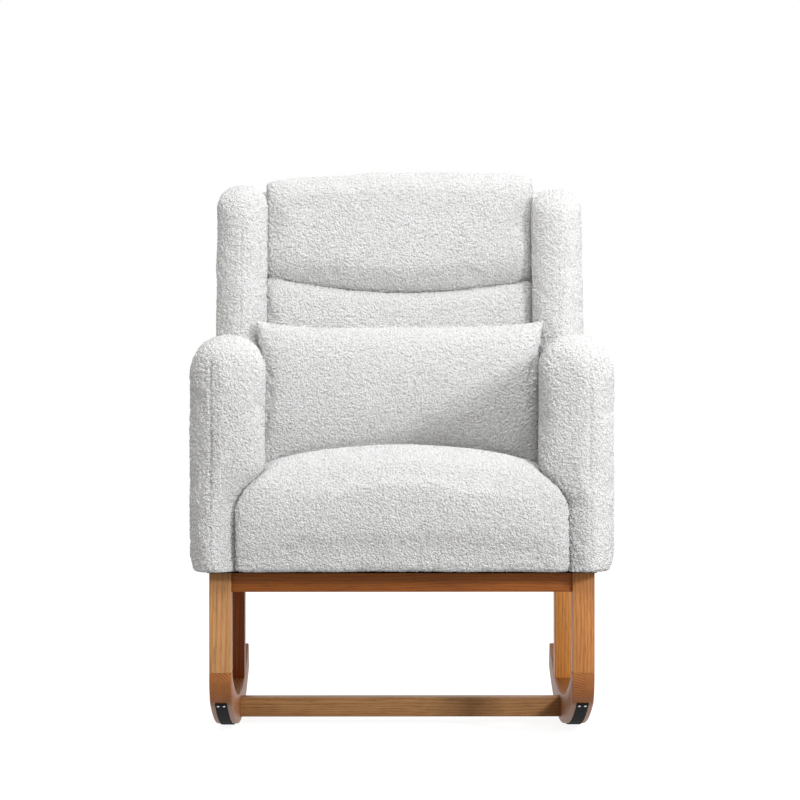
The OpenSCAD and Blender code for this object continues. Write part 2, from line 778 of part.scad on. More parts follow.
// Arms: one upright slice across an arm at the place y
arm_half = (body_w / 2 - arm_in) / 2;
arm_foot = 9;
function arm_slice(y, grow = 0) =
  let (t = y + body_d / 2, side = round_inset(t, nose_edge), top = arm_top - round_inset(t, nose_drop),
       low = body_z, foot = arm_foot,
       k = arm_round / (arm_half + nose_swell / 2), rz = arm_round,
       flank = [0.03, 0.15, 0.27, 0.34, 0.4, 0.46, 0.52, 0.7, 0.85],
       profile = concat(
         [[-1 + 0.12, low], [-1 + 0.03, low + foot * 0.4], [-1, low + foot]],
         [for (f = flank) [-1, mix(low + foot, top - rz, f)]],
         [for (a = [180:-18:90]) [-1 + k + k * cos(a), top - rz + rz * sin(a)]],
         [for (a = [90:-18:0]) [1 - k + k * cos(a), top - rz + rz * sin(a)]],
         [for (f = [0.6, 0.2]) [1, mix(low + foot, top - rz, f)]],
         [[1, low + foot], [1 - 0.03, low + foot * 0.4], [1 - 0.12, low]]))
  [for (p = profile) let (x0 = inner_x(y, p[1]) + side - grow, x1 = body_w / 2 - side + grow)
    [mix(x0, x1, (p[0] + 1) / 2), y, p[1] + grow]];

arm_steps = [0, 2, 6, 13, 24, 40, 58, nose_drop, 115, 150, 185, nose_start + nose_fade];
module arm_form(grow = 0) {
  end = plane_y(back_depth, arm_top) + 20;
  loft([for (t = concat(arm_steps, [body_d / 2 + end])) arm_slice(t - body_d / 2, grow)]);
}

module arm_pad() {
  gap = pocket_gap;
  color(fabric) difference() {
    arm_form();
    translate([0, leg_y - gap, body_z - 50]) cube([panel_x + gap, body_d, board_h + 50 + gap]);
    panel_pocket();
    in_back() translate([0, pad_t - gap, -cut_reach / 2]) cube([panel_x + gap, body_d, cut_reach]);
    in_back() translate([0, post_w1, -cut_reach / 2]) cube([body_w, body_d, cut_reach]);
  }
}

// Wings: one slice across a wing at the distance v up the back
wing_top_v = v_at(wing_top, 20);
wing_low_v = v_at(arm_top - arm_round, 0);
wing_side_round = 40;
function wing_slice(v) =
  let (t = wing_top_v - v, side = round_inset(t, wing_side_round), h = wing_w / 2 - side,
       front = -wing_out + round_inset(t, wing_drop), rear = post_w1 + 1, c = front + h,
       back_in = round_inset(t, 14))
  [for (p = concat(
      [for (a = [180:15:360]) [h * cos(a), c + h * sin(a)]],
      [for (f = [0.5, 1]) [h, mix(c, rear - back_in - 8, f)]],
      [[h - 6, rear - back_in], [0, rear - back_in], [6 - h, rear - back_in]],
      [for (f = [1, 0.5]) [-h, mix(c, rear - back_in - 8, f)]]))
    [wing_in + wing_w / 2 + p[0], p[1], v]];

wing_steps = [0, 1.5, 5, 11, 19, 29, wing_side_round, 58, wing_drop, 140];
module wing_pad() {
  gap = pocket_gap;
  far = nose_start + nose_fade - body_d / 2 + 1;
  saddle = arm_slice(far, soft_gap);
  color(fabric) difference() {
    in_back()
      loft(turned([for (t = concat(wing_steps, [wing_top_v - wing_low_v])) wing_slice(wing_top_v - t)]));
    translate([0, body_d / 2 + 100, 0]) rotate([90, 0, 0]) linear_extrude(2 * body_d)
      polygon([for (p = saddle) [p[0], p[2]]]);
    translate([0, -body_d / 2, 0]) cube([body_w / 2, 2 * body_d, arm_top - arm_round]);
    panel_pocket();
    in_back() translate([0, pad_t - gap, -back_top])
      cube([panel_x + gap, body_d, post_top_v + gap + back_top]);
    in_back() translate([0, post_w1, -cut_reach / 2]) cube([body_w, body_d, cut_reach]);
  }
}

// Back pads: one upright slice at the share u across, between two heights and two planes
pad_shares = [0, 0.25, 0.48, 0.68, 0.82, 0.9, 0.95, 0.985, 1];
function pad_slice(u, v0, v1, w0, w1, e, n) =
  let (draw = 1 - 0.16 * pow(abs(u), 9), c = (v0 + v1) / 2, h = (v1 - v0) / 2 * draw,
       m = (w0 + w1) / 2, d = (w1 - w0) / 2 * draw)
  [for (i = [0:n - 1]) let (a = 360 * i / n)
    [u * (wing_in - soft_gap), m - d * spow(cos(a), e), c + h * spow(sin(a), e)]];
function seam_z(u) = seam_mid + seam_rise * u * u;

module back_form(w0, w1, e, n, low, high) {
  shares = concat(turned([for (u = pad_shares) if (u > 0) -u]), pad_shares);
  in_back() loft(turned([for (u = shares) pad_slice(u, low(u), high(u), w0, w1, e, n)]));
}

module lower_back_pad() {
  color(fabric)
    back_form(0, pad_t, 0.5, 28, function(u) pad_low_v, function(u) v_at(seam_z(u) - soft_gap, 0));
}

module upper_back_pad() {
  color(fabric) difference() {
    back_form(0, post_w1, 0.55, 32, function(u) v_at(seam_z(u) + soft_gap, 0),
      function(u) v_at(back_top - top_fall * u * u, post_w1 / 2));
    in_back() translate([-body_w / 2, pad_t, -back_top])
      cube([body_w, body_d, post_top_v + pocket_gap + back_top]);
  }
}

// Outer back: a thin padded panel behind arms, wings and frame
outer_inset = 4;
function outer_outline() =
  let (xa = body_w / 2 - outer_inset, xw = wing_out_x - outer_inset, r = arm_round - outer_inset,
       za = arm_top - outer_inset - r, bend = acos(min(1, (xw - xa + r) / r)), rw = 36,
       zw = wing_top - outer_inset - rw, zc = back_top - outer_edge,
       half = concat(
         [[xa, body_z - 60]],
         arc([xa - r, za], r, 0, bend, 6),
         [[xw, zw]], arc([xw - rw, zw], rw, 15, 90, 5),
         [for (k = [1:5]) let (x = (xw - rw) * (1 - k / 5)) [x, mix(zc, zw + rw, pow(x / (xw - rw), 2))]]))
  concat(half, [for (i = [len(half) - 2:-1:0]) [-half[i][0], half[i][1]]]);

module outer_back_panel() {
  color(fabric) difference() {
    in_back() translate([0, back_depth, 0]) rotate([90, 0, 0]) linear_extrude(outer_t)
      polygon([for (p = outer_outline()) [p[0], v_at(p[1], back_depth)]]);
    below_body();
  }
}

// Lumbar pillow: its rear lies on the back's front plane and its lower edge follows the seat
pillow_y = plane_y(-pillow_t / 2, seat_side - seat_drop / 2);
pillow_dip = 8;
function pillow_low(u) =
  v_at(seat_z(u * pillow_w / 2 / arm_in, pillow_y - 20) + soft_gap, -pillow_t / 2);
function pillow_high(u) = pillow_low(0) + pillow_h - pillow_dip * (1 - pow(abs(u), 3));
function pillow_half(s) =
  mix(pillow_w / 2, pillow_ears / 2, pow(s, 9)) - pillow_waist * (1 - pow(2 * s - 1, 2));

// One slice of the pillow at the share u across, drawn in by g
function pillow_slice(u, g, n) =
  let (k = sqrt(max(0.004, 1 - pow(abs(u), 3.5))), rear = -soft_gap - (1 - k) * (wing_out + 12) - g,
       front = -soft_gap - pillow_t + (1 - k) * (pillow_t - wing_out - 14) + g,
       low = pillow_low(u) + g, high = pillow_high(u) - g, c = (low + high) / 2, h = (high - low) / 2,
       m = (rear + front) / 2, d = (rear - front) / 2)
  [for (i = [0:n - 1]) let (a = 360 * i / n, up = spow(sin(a), 0.8), s = (up + 1) / 2)
    [u * (pillow_half(s) - 3 * g), m + d * spow(cos(a), 0.9), c + h * up]];

pillow_shares = [0, 0.2, 0.4, 0.58, 0.72, 0.83, 0.9, 0.95, 0.98, 1];
fill_shares = [0, 0.3, 0.55, 0.75, 0.88, 0.94];
module pillow_form(shares, g, n) {
  list = concat(turned([for (u = shares) if (u > 0) -u]), shares);
  in_back() loft([for (u = list) pillow_slice(u, g, n)], true);
}

module pillow_cover() {
  color(fabric) difference() {
    pillow_form(pillow_shares, 0, 28);
    pillow_form(fill_shares, cover_t, 20);
  }
}

module pillow_fill() {
  color("ivory") pillow_form(fill_shares, cover_t + 2 * pocket_gap, 20);
}

module left_side() {
  mirror([1, 0, 0]) children();
}

left_side() rocker();  // left_rocker
rocker();  // right_rocker
left_side() front_leg();  // left_front_leg
front_leg();  // right_front_leg
left_side() rear_leg();  // left_rear_leg
rear_leg();  // right_rear_leg
front_rail();
rear_rail();
left_side() side_rail();  // left_side_rail
side_rail();  // right_side_rail
stretcher();
left_side() tread_strip();  // left_tread_strip
tread_strip();  // right_tread_strip
tread_nails();
leg_dowels();
rail_dowels();
stretcher_dowels();
base_screws();
dust_cover();
cross_board(leg_y);  // front_seat_board
cross_board(rear_board_y);  // rear_seat_board
left_side() side_board();  // left_seat_board
side_board();  // right_seat_board
left_side() side_panel();  // left_side_panel
side_panel();  // right_side_panel
left_side() back_post();  // left_back_post
back_post();  // right_back_post
back_rail(back_rail_v[0]);  // top_back_rail
back_rail(back_rail_v[1]);  // middle_back_rail
back_rail(back_rail_v[2]);  // bottom_back_rail
back_webbing();
frame_bolts();
tee_nuts();
corner_screws();
back_screws();
seat_springs();
spring_clips();
spring_insulator();
seat_foam();
seat_cushion();
left_side() arm_pad();  // left_arm_pad
arm_pad();  // right_arm_pad
left_side() wing_pad();  // left_wing_pad
wing_pad();  // right_wing_pad
lower_back_pad();
upper_back_pad();
outer_back_panel();
pillow_cover();
pillow_fill();
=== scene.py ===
# %% [markdown]
# # An upholstered rocking chair
# The chair is a padded wing armchair in curly white fleece on a base of oiled hardwood.
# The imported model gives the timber, the fasteners and the place of every soft form.
# Blender adds what solids can't: rounded fabric with its curls, seams and dents, and the grain of the wood.

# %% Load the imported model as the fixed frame
import json
import math
import bpy
import bmesh
import numpy as np
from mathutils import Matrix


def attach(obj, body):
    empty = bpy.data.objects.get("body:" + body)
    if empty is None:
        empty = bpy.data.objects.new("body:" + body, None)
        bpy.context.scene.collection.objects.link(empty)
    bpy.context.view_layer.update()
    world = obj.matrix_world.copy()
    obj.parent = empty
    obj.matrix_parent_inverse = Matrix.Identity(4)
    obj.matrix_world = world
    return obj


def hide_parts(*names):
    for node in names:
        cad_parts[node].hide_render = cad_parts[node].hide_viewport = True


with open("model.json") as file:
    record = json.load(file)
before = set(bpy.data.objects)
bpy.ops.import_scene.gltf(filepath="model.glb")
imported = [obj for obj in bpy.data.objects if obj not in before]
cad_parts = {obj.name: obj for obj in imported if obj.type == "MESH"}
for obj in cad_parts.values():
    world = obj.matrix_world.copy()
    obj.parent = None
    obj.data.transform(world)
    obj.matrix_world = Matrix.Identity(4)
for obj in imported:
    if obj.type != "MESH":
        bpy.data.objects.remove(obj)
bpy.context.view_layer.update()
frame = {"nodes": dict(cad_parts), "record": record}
nodes = frame["nodes"]

# %% [markdown]
# ## Measures
# The same named sizes as the part's source, in metres, so that every piece lands where its solid is.
# The chair faces -Y, X runs across it, and the floor is Z = 0.

# %% Sizes of the chair
body_w, body_d, body_z = 0.700, 0.780, 0.288
back_top, arm_top, wing_top = 1.000, 0.684, 0.970
seat_side, seat_crown, seat_drop = 0.466, 0.496, 0.040
leg_w, leg_d = 0.037, 0.045
leg_front, leg_aside, leg_rear = 0.050, 0.0285, 0.0355
front_y = -body_d / 2
leg_y = front_y + leg_front
leg_x = body_w / 2 - leg_aside - leg_w
base_top = body_z - 0.0015
arm_in, nose_swell, seat_flare = 0.252, 0.022, 0.015
wing_in, wing_w, wing_out = 0.248, 0.088, 0.072
pad_t, post_gap, post_t, outer_t = 0.072, 0.0016, 0.030, 0.010
post_w1 = pad_t + post_gap + post_t
lean = math.radians(12)
back_depth = post_w1 + outer_t
outer_top = back_top - 0.014
outer_v = (outer_top - seat_side + back_depth * math.sin(lean)) / math.cos(lean)
back_y = body_d / 2 - back_depth * math.cos(lean) - outer_v * math.sin(lean)
back_foot_y = back_y + (body_z - seat_side) * math.tan(lean) + back_depth / math.cos(lean)
rear_leg_y = back_foot_y - leg_rear - leg_d
seam_mid, seam_rise = 0.774, 0.028
print("front plane of the back at the seat:", round(back_y, 4))

# %% [markdown]
# ## Helpers for surfaces
# Every form is a function of two parameters, worked out on a whole grid at once.
# The grid becomes a mesh of quads, its poles and meeting edges are merged, and its faces are turned outwards.

# %% Grids of points made into meshes
def mix(a, b, t):
    """The point a share t of the way from a to b."""
    return a + (b - a) * t


def smooth(t):
    """A share eased at both ends: 3 t squared minus 2 t cubed, held between 0 and 1."""
    t = np.clip(t, 0, 1)
    return t * t * (3 - 2 * t)


def signed_power(c, e):
    """The size of c raised to the power e, with the sign of c kept."""
    return np.sign(c) * np.abs(c) ** e


def quarter_inset(t, r):
    """How far a quarter-round edge of radius r has drawn in at a distance t from its end."""
    return np.where(t >= r, 0.0, r - np.sqrt(np.maximum(0, r * r - (r - t) ** 2)))


def back_to_room(x, w, v):
    """A place in the leaning back (x across, w through it, v up it) as a place in the room."""
    return np.stack([x, back_y + w * math.cos(lean) + v * math.sin(lean),
                     seat_side - w * math.sin(lean) + v * math.cos(lean)], -1)


def up_back(z, w):
    """The distance up the back of a height z over the floor, at a depth w behind its front plane."""
    return (z - seat_side + w * math.sin(lean)) / math.cos(lean)


def plane_y(w, z):
    """The place along the chair of the plane w behind the back's front plane, at a height z."""
    return back_y + (z - seat_side) * math.tan(lean) + w / math.cos(lean)


def room_to_back(points):
    """The opposite: places in the room as (across, through, up) of the leaning back."""
    y, z = points[:, 1] - back_y, points[:, 2] - seat_side
    return points[:, 0], y * math.cos(lean) - z * math.sin(lean), y * math.sin(lean) + z * math.cos(lean)


def grid_faces(rows, cols, close_rows, close_cols):
    """Corner numbers of the quads of a grid; a closed direction joins its last line to its first."""
    i, j = np.meshgrid(np.arange(rows if close_rows else rows - 1),
                       np.arange(cols if close_cols else cols - 1), indexing="ij")
    a, b = (i + 1) % rows, (j + 1) % cols
    return np.stack([i * cols + j, a * cols + j, a * cols + b, i * cols + b], -1).reshape(-1, 4)


def mesh_object(name, points, quads, caps=()):
    """A mesh object from an array of points, an array of quads and a few faces with more corners."""
    mesh = bpy.data.meshes.new(name)
    mesh.from_pydata(points.reshape(-1, 3).tolist(), [], quads.tolist() + list(caps))
    obj = bpy.data.objects.new(name, mesh)
    bpy.context.scene.collection.objects.link(obj)
    return obj


def tidy_mesh(obj, gap=1e-5, outward=True):
    """Merges points that share a place, drops faces that have no area and turns the rest outwards."""
    bm = bmesh.new()
    bm.from_mesh(obj.data)
    bmesh.ops.remove_doubles(bm, verts=bm.verts, dist=gap)
    bmesh.ops.dissolve_degenerate(bm, edges=bm.edges, dist=gap)
    if outward:
        bmesh.ops.recalc_face_normals(bm, faces=bm.faces)
    bm.to_mesh(obj.data)
    bm.free()
    obj.data.shade_smooth()
    return obj


def read_points(obj):
    """The object's vertices as an array."""
    flat = np.empty(len(obj.data.vertices) * 3, np.float32)
    obj.data.vertices.foreach_get("co", flat)
    return flat.reshape(-1, 3).astype(float)


def read_normals(obj):
    """The vertex normals as an array."""
    flat = np.empty(len(obj.data.vertices) * 3, np.float32)
    obj.data.vertex_normals.foreach_get("vector", flat)
    return flat.reshape(-1, 3).astype(float)


def write_points(obj, points):
    """Puts an array of places back into the object's vertices."""
    obj.data.vertices.foreach_set("co", points.astype(np.float32).ravel())
    obj.data.update()


# %% [markdown]
# ## Camera, light and stage
# The photograph was taken from far off and level, so its verticals stay upright.
# A long lens stands five metres in front of the legs, 40 mm to the left of the middle, and is turned
# a little to the right.
# The key light comes from the right and from a little above; the wing and the arm throw soft shadows in it.
# Two side lamps, one overhead and one from the front and above fill the shadows, as white studio walls do.

# %% The camera
camera_x, camera_z, camera_far = -0.040, 0.574, 5.0
focal_px, turn_px, image_px, sensor_mm = 3000.0, 22, 800, 36
camera_data = bpy.data.cameras.new("camera")
camera_data.sensor_width = sensor_mm
camera_data.lens = focal_px * sensor_mm / image_px
camera = bpy.data.objects.new("camera", camera_data)
camera.location = (camera_x, leg_y - camera_far, camera_z)
camera.rotation_euler = (math.radians(90), 0, -math.atan(turn_px / focal_px))
bpy.context.scene.collection.objects.link(camera)
bpy.context.scene.camera = camera
bpy.context.scene.view_settings.view_transform = "Standard"
print("camera at", [round(c, 3) for c in camera.location])

# %% Nodes
def add_node(tree, kind, values=None, links=None, **settings):
    """A node with its settings, the values of its inputs and the sockets that feed them."""
    node = tree.nodes.new(kind)
    for key, value in settings.items():
        setattr(node, key, value)
    for key, value in (values or {}).items():
        node.inputs[key].default_value = value
    for key, source in (links or {}).items():
        tree.links.new(source, node.inputs[key])
    return node


def white_to_the_eye(tree, plain, white):
    """Shows the white shader to camera, glossy and transmission rays and the plain one to the rest."""
    path = tree.nodes.new("ShaderNodeLightPath").outputs
    seen = add_node(tree, "ShaderNodeMath", None,
                    {0: path["Is Camera Ray"], 1: path["Is Glossy Ray"]}, operation="MAXIMUM")
    also = add_node(tree, "ShaderNodeMath", None,
                    {0: seen.outputs[0], 1: path["Is Transmission Ray"]}, operation="MAXIMUM")
    mixed = add_node(tree, "ShaderNodeMixShader", None,
                     {0: also.outputs[0], 1: plain.outputs[0], 2: white.outputs[0]})
    return mixed.outputs[0]


# %% The lamps and the world
def soft_lamp(name, place, aim, size, watts, tint):
    """A square soft lamp at a place, turned to shine at a point."""
    data = bpy.data.lights.new(name, "AREA")
    data.shape, data.size, data.energy, data.color = "SQUARE", size, watts, tint
    lamp = bpy.data.objects.new(name, data)
    lamp.location = place
    direction = np.array(aim, float) - np.array(place, float)
    direction /= np.linalg.norm(direction)
    turn = math.atan2(direction[1], direction[0]) - math.pi / 2
    lamp.rotation_euler = (math.acos(-direction[2]), 0, turn)
    bpy.context.scene.collection.objects.link(lamp)


middle = (0, 0, 0.6)
key_way = np.array([0.62, -1.0, 0.36])
soft_lamp("key", np.array(middle) + key_way * 3.0, middle, 0.55, 68, (0.97, 0.985, 1.0))
soft_lamp("right_side", (3.2, 0.0, 0.9), middle, 1.6, 38, (0.98, 0.99, 1.0))
soft_lamp("left_side", (-3.2, 0.0, 0.9), middle, 1.8, 24, (0.98, 0.99, 1.0))
soft_lamp("overhead", (0.3, -0.2, 3.4), middle, 1.8, 60, (0.965, 0.98, 1.0))
soft_lamp("front_top", (0.4, -2.4, 2.9), middle, 1.6, 52, (0.97, 0.985, 1.0))

world = bpy.data.worlds.new("studio")
bpy.context.scene.world = world
world.use_nodes = True
world.node_tree.nodes.clear()
room_light = add_node(world.node_tree, "ShaderNodeBackground",
                      {"Color": (1.0, 0.965, 0.92, 1), "Strength": 0.45})
room_white = add_node(world.node_tree, "ShaderNodeBackground", {"Color": (1, 1, 1, 1), "Strength": 1.0})
room_seen = white_to_the_eye(world.node_tree, room_light, room_white)
add_node(world.node_tree, "ShaderNodeOutputWorld", None, {"Surface": room_seen})
print("lamps:", [lamp.name for lamp in bpy.data.lights])

# %% The floor
floor_z = -0.0006
floor_corners = np.array([[-6, -7, floor_z], [6, -7, floor_z], [6, 6, floor_z], [-6, 6, floor_z]])
floor = mesh_object("floor", floor_corners, np.array([[0, 1, 2, 3]]))
floor_material = bpy.data.materials.new("floor")
floor_material.use_nodes = True
floor_tree = floor_material.node_tree
floor_tree.nodes.clear()
floor_matte = add_node(floor_tree, "ShaderNodeBsdfDiffuse", {"Color": (0.40, 0.40, 0.40, 1)})
floor_glow = add_node(floor_tree, "ShaderNodeEmission", {"Strength": 0.90})
floor_part = add_node(floor_tree, "ShaderNodeBsdfDiffuse", {"Color": (0.30, 0.30, 0.30, 1)})
floor_seen = add_node(floor_tree, "ShaderNodeAddShader", None,
                      {0: floor_glow.outputs[0], 1: floor_part.outputs[0]})
floor_mixed = white_to_the_eye(floor_tree, floor_matte, floor_seen)
add_node(floor_tree, "ShaderNodeOutputMaterial", None, {"Surface": floor_mixed})
floor.data.materials.append(floor_material)
print("floor at", floor_z, "m")

# %% [markdown]
# ## Curly fleece
# The cover is a white fleece of small curls, four to five millimetres across, that catch the light
# on their crowns and go grey in the pits between them.
# Two things make it: lumps moved into the mesh, so that outlines and shadows are woolly too,
# and bent cells in the material for the finer curls, with loose fibre ends over them.
# The material also paints the pits darker and warmer than the crowns, which is painted shade.
# An image of fleece would show its joins and wouldn't follow the noses of arms and wings.

# %% Lumps for the mesh
def scramble(ix, iy, iz, seed):
    """A repeatable number from 0 to 1 for each cell, from its three whole numbers and a seed."""
    h = (ix.astype(np.int64) * 73856093) ^ (iy.astype(np.int64) * 19349663) ^ (iz.astype(np.int64) * 83492791)
    h = (h + seed * 2654435761) & 0xFFFFFFFF
    h = ((h ^ (h >> 15)) * 2246822519) & 0xFFFFFFFF
    h = ((h ^ (h >> 13)) * 3266489917) & 0xFFFFFFFF
    return (h ^ (h >> 16)) / 4294967296.0


def curl_height(points, cell, seed):
    """1 on a curl's crown and 0 between curls: one minus the distance to the nearest of one
    scattered point per cell, over the 27 cells around each place, in shares of a cell."""
    q = points / cell
    base = np.floor(q)
    nearest = np.full(len(points), 9.0)
    for step in np.ndindex(3, 3, 3):
        c = base + (np.array(step) - 1)
        spot = c + np.stack([scramble(c[:, 0], c[:, 1], c[:, 2], seed + k) for k in range(3)], -1)
        nearest = np.minimum(nearest, ((q - spot) ** 2).sum(-1))
    return 1 - np.clip(np.sqrt(nearest), 0, 1)


def soft_noise(points, cell, seed):
    """Slow waves between -1 and 1: random values at the corners of cells, eased between corners."""
    q = points / cell
    base = np.floor(q)
    f = smooth(q - base)
    total = np.zeros(len(points))
    for step in np.ndindex(2, 2, 2):
        c = base + np.array(step)
        share = np.prod(np.where(np.array(step) == 1, f, 1 - f), -1)
        total += share * scramble(c[:, 0], c[:, 1], c[:, 2], seed)
    return total * 2 - 1


curl_size, curl_rise = 0.0046, 0.0028
dent_size, small_dent_size, dent_depth = 0.055, 0.024, 0.0012


def grow_curls(obj, seed):
    """Moves every point along its normal: by the curls, and by slow dents as of hand-stuffed padding.
    The curls' height, 0 in the pits and 1 on the crowns, stays on the mesh as the attribute curl."""
    points, normals = read_points(obj), read_normals(obj)
    curl = np.clip(1.5 * curl_height(points, curl_size, seed) - 0.35, 0, 1)
    lift = curl_rise * (curl - 0.5)
    lift += dent_depth * (soft_noise(points, dent_size, seed + 7)
                          + 0.5 * soft_noise(points, small_dent_size, seed + 9))
    write_points(obj, points + normals * lift[:, None])
    attribute = obj.data.attributes.new("curl", "FLOAT", "POINT")
    attribute.data.foreach_set("value", curl.astype(np.float32))


# %% The fleece material
def new_material(name):
    """An empty node material with its Principled shader; returns the material, its tree and the shader."""
    material = bpy.data.materials.new(name)
    material.use_nodes = True
    tree = material.node_tree
    return material, tree, tree.nodes["Principled BSDF"]


def ramp(tree, source, stops):
    """A colour ramp through (place, colour) stops, fed by a source."""
    node = tree.nodes.new("ShaderNodeValToRGB")
    elements = node.color_ramp.elements
    while len(elements) < len(stops):
        elements.new(0.5)
    for element, (place, colour) in zip(elements, stops):
        element.position, element.color = place, (*colour, 1)
    tree.links.new(source, node.inputs[0])
    return node


def feed_shader(tree, shader, colour, bump, values):
    """Feeds the shader its colour and its bump, and sets the inputs that are the same all over."""
    tree.links.new(colour, shader.inputs["Base Color"])
    tree.links.new(bump.outputs[0], shader.inputs["Normal"])
    for key, value in values.items():
        shader.inputs[key].default_value = value


def fleece(name, crown, pit_shade):
    """Curly fleece: small cells bent by noise stand as curls in the bump, with loose fibre ends over them.
    The pits between them and between the mesh's own curls are painted a little darker and warmer as painted
    shade, and a sheen stands for the fibres seen at a slant."""
    material, tree, shader = new_material(name)
    where = tree.nodes.new("ShaderNodeTexCoord").outputs["Object"]
    frizz = add_node(tree, "ShaderNodeTexNoise", {"Scale": 430.0, "Detail": 2.0, "Roughness": 0.6},
                     {"Vector": where})
    bend = add_node(tree, "ShaderNodeVectorMath", {1: (0.0034, 0.0034, 0.0034)},
                    {0: frizz.outputs["Color"], 2: where}, operation="MULTIPLY_ADD")
    curls = add_node(tree, "ShaderNodeTexVoronoi", {"Scale": 290.0, "Randomness": 1.0},
                     {"Vector": bend.outputs[0]})
    distance = curls.outputs["Distance"]
    lump = add_node(tree, "ShaderNodeAttribute", attribute_name="curl")
    depth = add_node(tree, "ShaderNodeMath", {1: -0.22}, {0: lump.outputs["Fac"], 2: distance},
                     operation="MULTIPLY_ADD")
    # The colour goes from the crowns' white to a darker, warmer colour in the pits, by the curl attribute and
    # the cells' distance: painted shade.
    slope = mix(np.array(crown), np.array(pit_shade), 0.4)
    colour = ramp(tree, depth.outputs[0], [(0.20, crown), (0.45, slope), (0.68, pit_shade)])
    ends = add_node(tree, "ShaderNodeTexNoise", {"Scale": 800.0, "Detail": 1.0}, {"Vector": where})
    rise = add_node(tree, "ShaderNodeMath", {1: -0.5}, {0: ends.outputs["Fac"], 2: distance},
                    operation="MULTIPLY_ADD")
    bump = add_node(tree, "ShaderNodeBump", {"Strength": 1.0, "Distance": 0.0052},
                    {"Height": rise.outputs[0]}, invert=True)
    feed_shader(tree, shader, colour.outputs["Color"], bump,
                {"Roughness": 0.95, "Specular IOR Level": 0.12, "Sheen Weight": 0.6, "Sheen Roughness": 0.4})
    return material


# The second colour is painted shade for the pits; the first is the fleece's white.
white_fleece = fleece("white_fleece", (0.93, 0.934, 0.94), (0.72, 0.70, 0.67))
print("curls", curl_size * 1000, "mm across")

# %% [markdown]
# ## Oiled hardwood
# The base is oak-like timber with a warm oil finish. Growth rings run along each board,
# so the long faces show drawn-out lines and the ends show arcs.
# Each wooden piece carries an attribute with its own place along and across the grain,
# and the material cuts its rings and pores from that.

# %% The wood material
def drawn_noise(tree, grain, scale, detail, roughness):
    """Noise over the grain's places, drawn out along the grain by its smaller scale."""
    placed = add_node(tree, "ShaderNodeMapping", {"Scale": scale}, {"Vector": grain})
    values = {"Scale": 1.0, "Detail": detail, "Roughness": roughness}
    return add_node(tree, "ShaderNodeTexNoise", values, {"Vector": placed.outputs[0]})


def tinted(tree, colour, tint):
    """One ramp's or mix's colour multiplied by another's."""
    return add_node(tree, "ShaderNodeMix", {0: 1.0}, {6: colour, 7: tint}, data_type="RGBA",
                    blend_type="MULTIPLY").outputs[2]


ring_width = 0.0042


def oiled_wood(name, early, late):
    """Rings as distances from a pith line beside the board, bent by slow noise, with fine dark pores."""
    material, tree, shader = new_material(name)
    grain = add_node(tree, "ShaderNodeAttribute", attribute_name="grain").outputs["Vector"]
    sway = drawn_noise(tree, grain, (2.2, 16.0, 16.0), 2.0, 0.5)
    bend = add_node(tree, "ShaderNodeVectorMath", {1: (0.0, 0.022, 0.022)},
                    {0: sway.outputs["Color"], 2: grain}, operation="MULTIPLY_ADD")
    flat = add_node(tree, "ShaderNodeVectorMath", {1: (0.0, 1.0, 1.0)}, {0: bend.outputs[0]},
                    operation="MULTIPLY")
    radius = add_node(tree, "ShaderNodeVectorMath", None, {0: flat.outputs[0]}, operation="LENGTH")
    rings = add_node(tree, "ShaderNodeMath", {1: 1 / ring_width}, {0: radius.outputs["Value"]},
                     operation="MULTIPLY")
    part = add_node(tree, "ShaderNodeMath", None, {0: rings.outputs[0]}, operation="FRACT")
    tone = ramp(tree, part.outputs[0], [(0.0, late), (0.18, early), (0.62, early), (1.0, late)])
    pores = drawn_noise(tree, grain, (38.0, 950.0, 950.0), 2.0, 0.6)
    pore_tone = ramp(tree, pores.outputs["Fac"], [(0.30, (0.62, 0.56, 0.50)), (0.48, (1, 1, 1))])
    patches = drawn_noise(tree, grain, (5.0, 42.0, 42.0), 3.0, 0.6)
    patch_tone = ramp(tree, patches.outputs["Fac"], [(0.25, (0.80, 0.76, 0.72)), (0.75, (1.12, 1.12, 1.10))])
    with_pores = tinted(tree, tone.outputs["Color"], pore_tone.outputs["Color"])
    colour = tinted(tree, with_pores, patch_tone.outputs["Color"])
    bump = add_node(tree, "ShaderNodeBump", {"Strength": 0.25, "Distance": 0.0004},
                    {"Height": pores.outputs["Fac"]})
    feed_shader(tree, shader, colour, bump, {"Roughness": 0.45, "Specular IOR Level": 0.25})
    return material


pale_wood = oiled_wood("pale_wood", (0.49, 0.256, 0.104), (0.38, 0.174, 0.061))
leg_wood = oiled_wood("leg_wood", (0.46, 0.192, 0.058), (0.35, 0.128, 0.035))
rail_wood = oiled_wood("rail_wood", (0.315, 0.094, 0.011), (0.250, 0.065, 0.007))
# The left rear leg's copy is painted dark and red as painted shade; the right rear leg's copy is painted
# light as painted light.
dark_wood = oiled_wood("dark_wood", (0.270, 0.060, 0.005), (0.200, 0.038, 0.003))
light_wood = oiled_wood("light_wood", (0.67, 0.280, 0.067), (0.55, 0.200, 0.044))
rocker_wood = oiled_wood("rocker_wood", (0.355, 0.132, 0.036), (0.190, 0.058, 0.015))
print("growth rings", ring_width * 1000, "mm wide")

# %% Pieces of wood
def rounded_outline(corners, radius):
    """A closed outline through corners, each turned into a short arc of five points, as a curve of the second
    degree that starts and ends a radius away from the corner."""
    corners = np.array(corners, float)
    before, after = np.roll(corners, 1, 0) - corners, np.roll(corners, -1, 0) - corners
    before /= np.linalg.norm(before, axis=1)[:, None]
    after /= np.linalg.norm(after, axis=1)[:, None]
    t = np.linspace(0, 1, 5)[None, :, None]
    a, b = corners + before * radius, corners + after * radius
    curve = (1 - t) ** 2 * a[:, None] + 2 * t * (1 - t) * corners[:, None] + t * t * b[:, None]
    return curve.reshape(-1, 2)


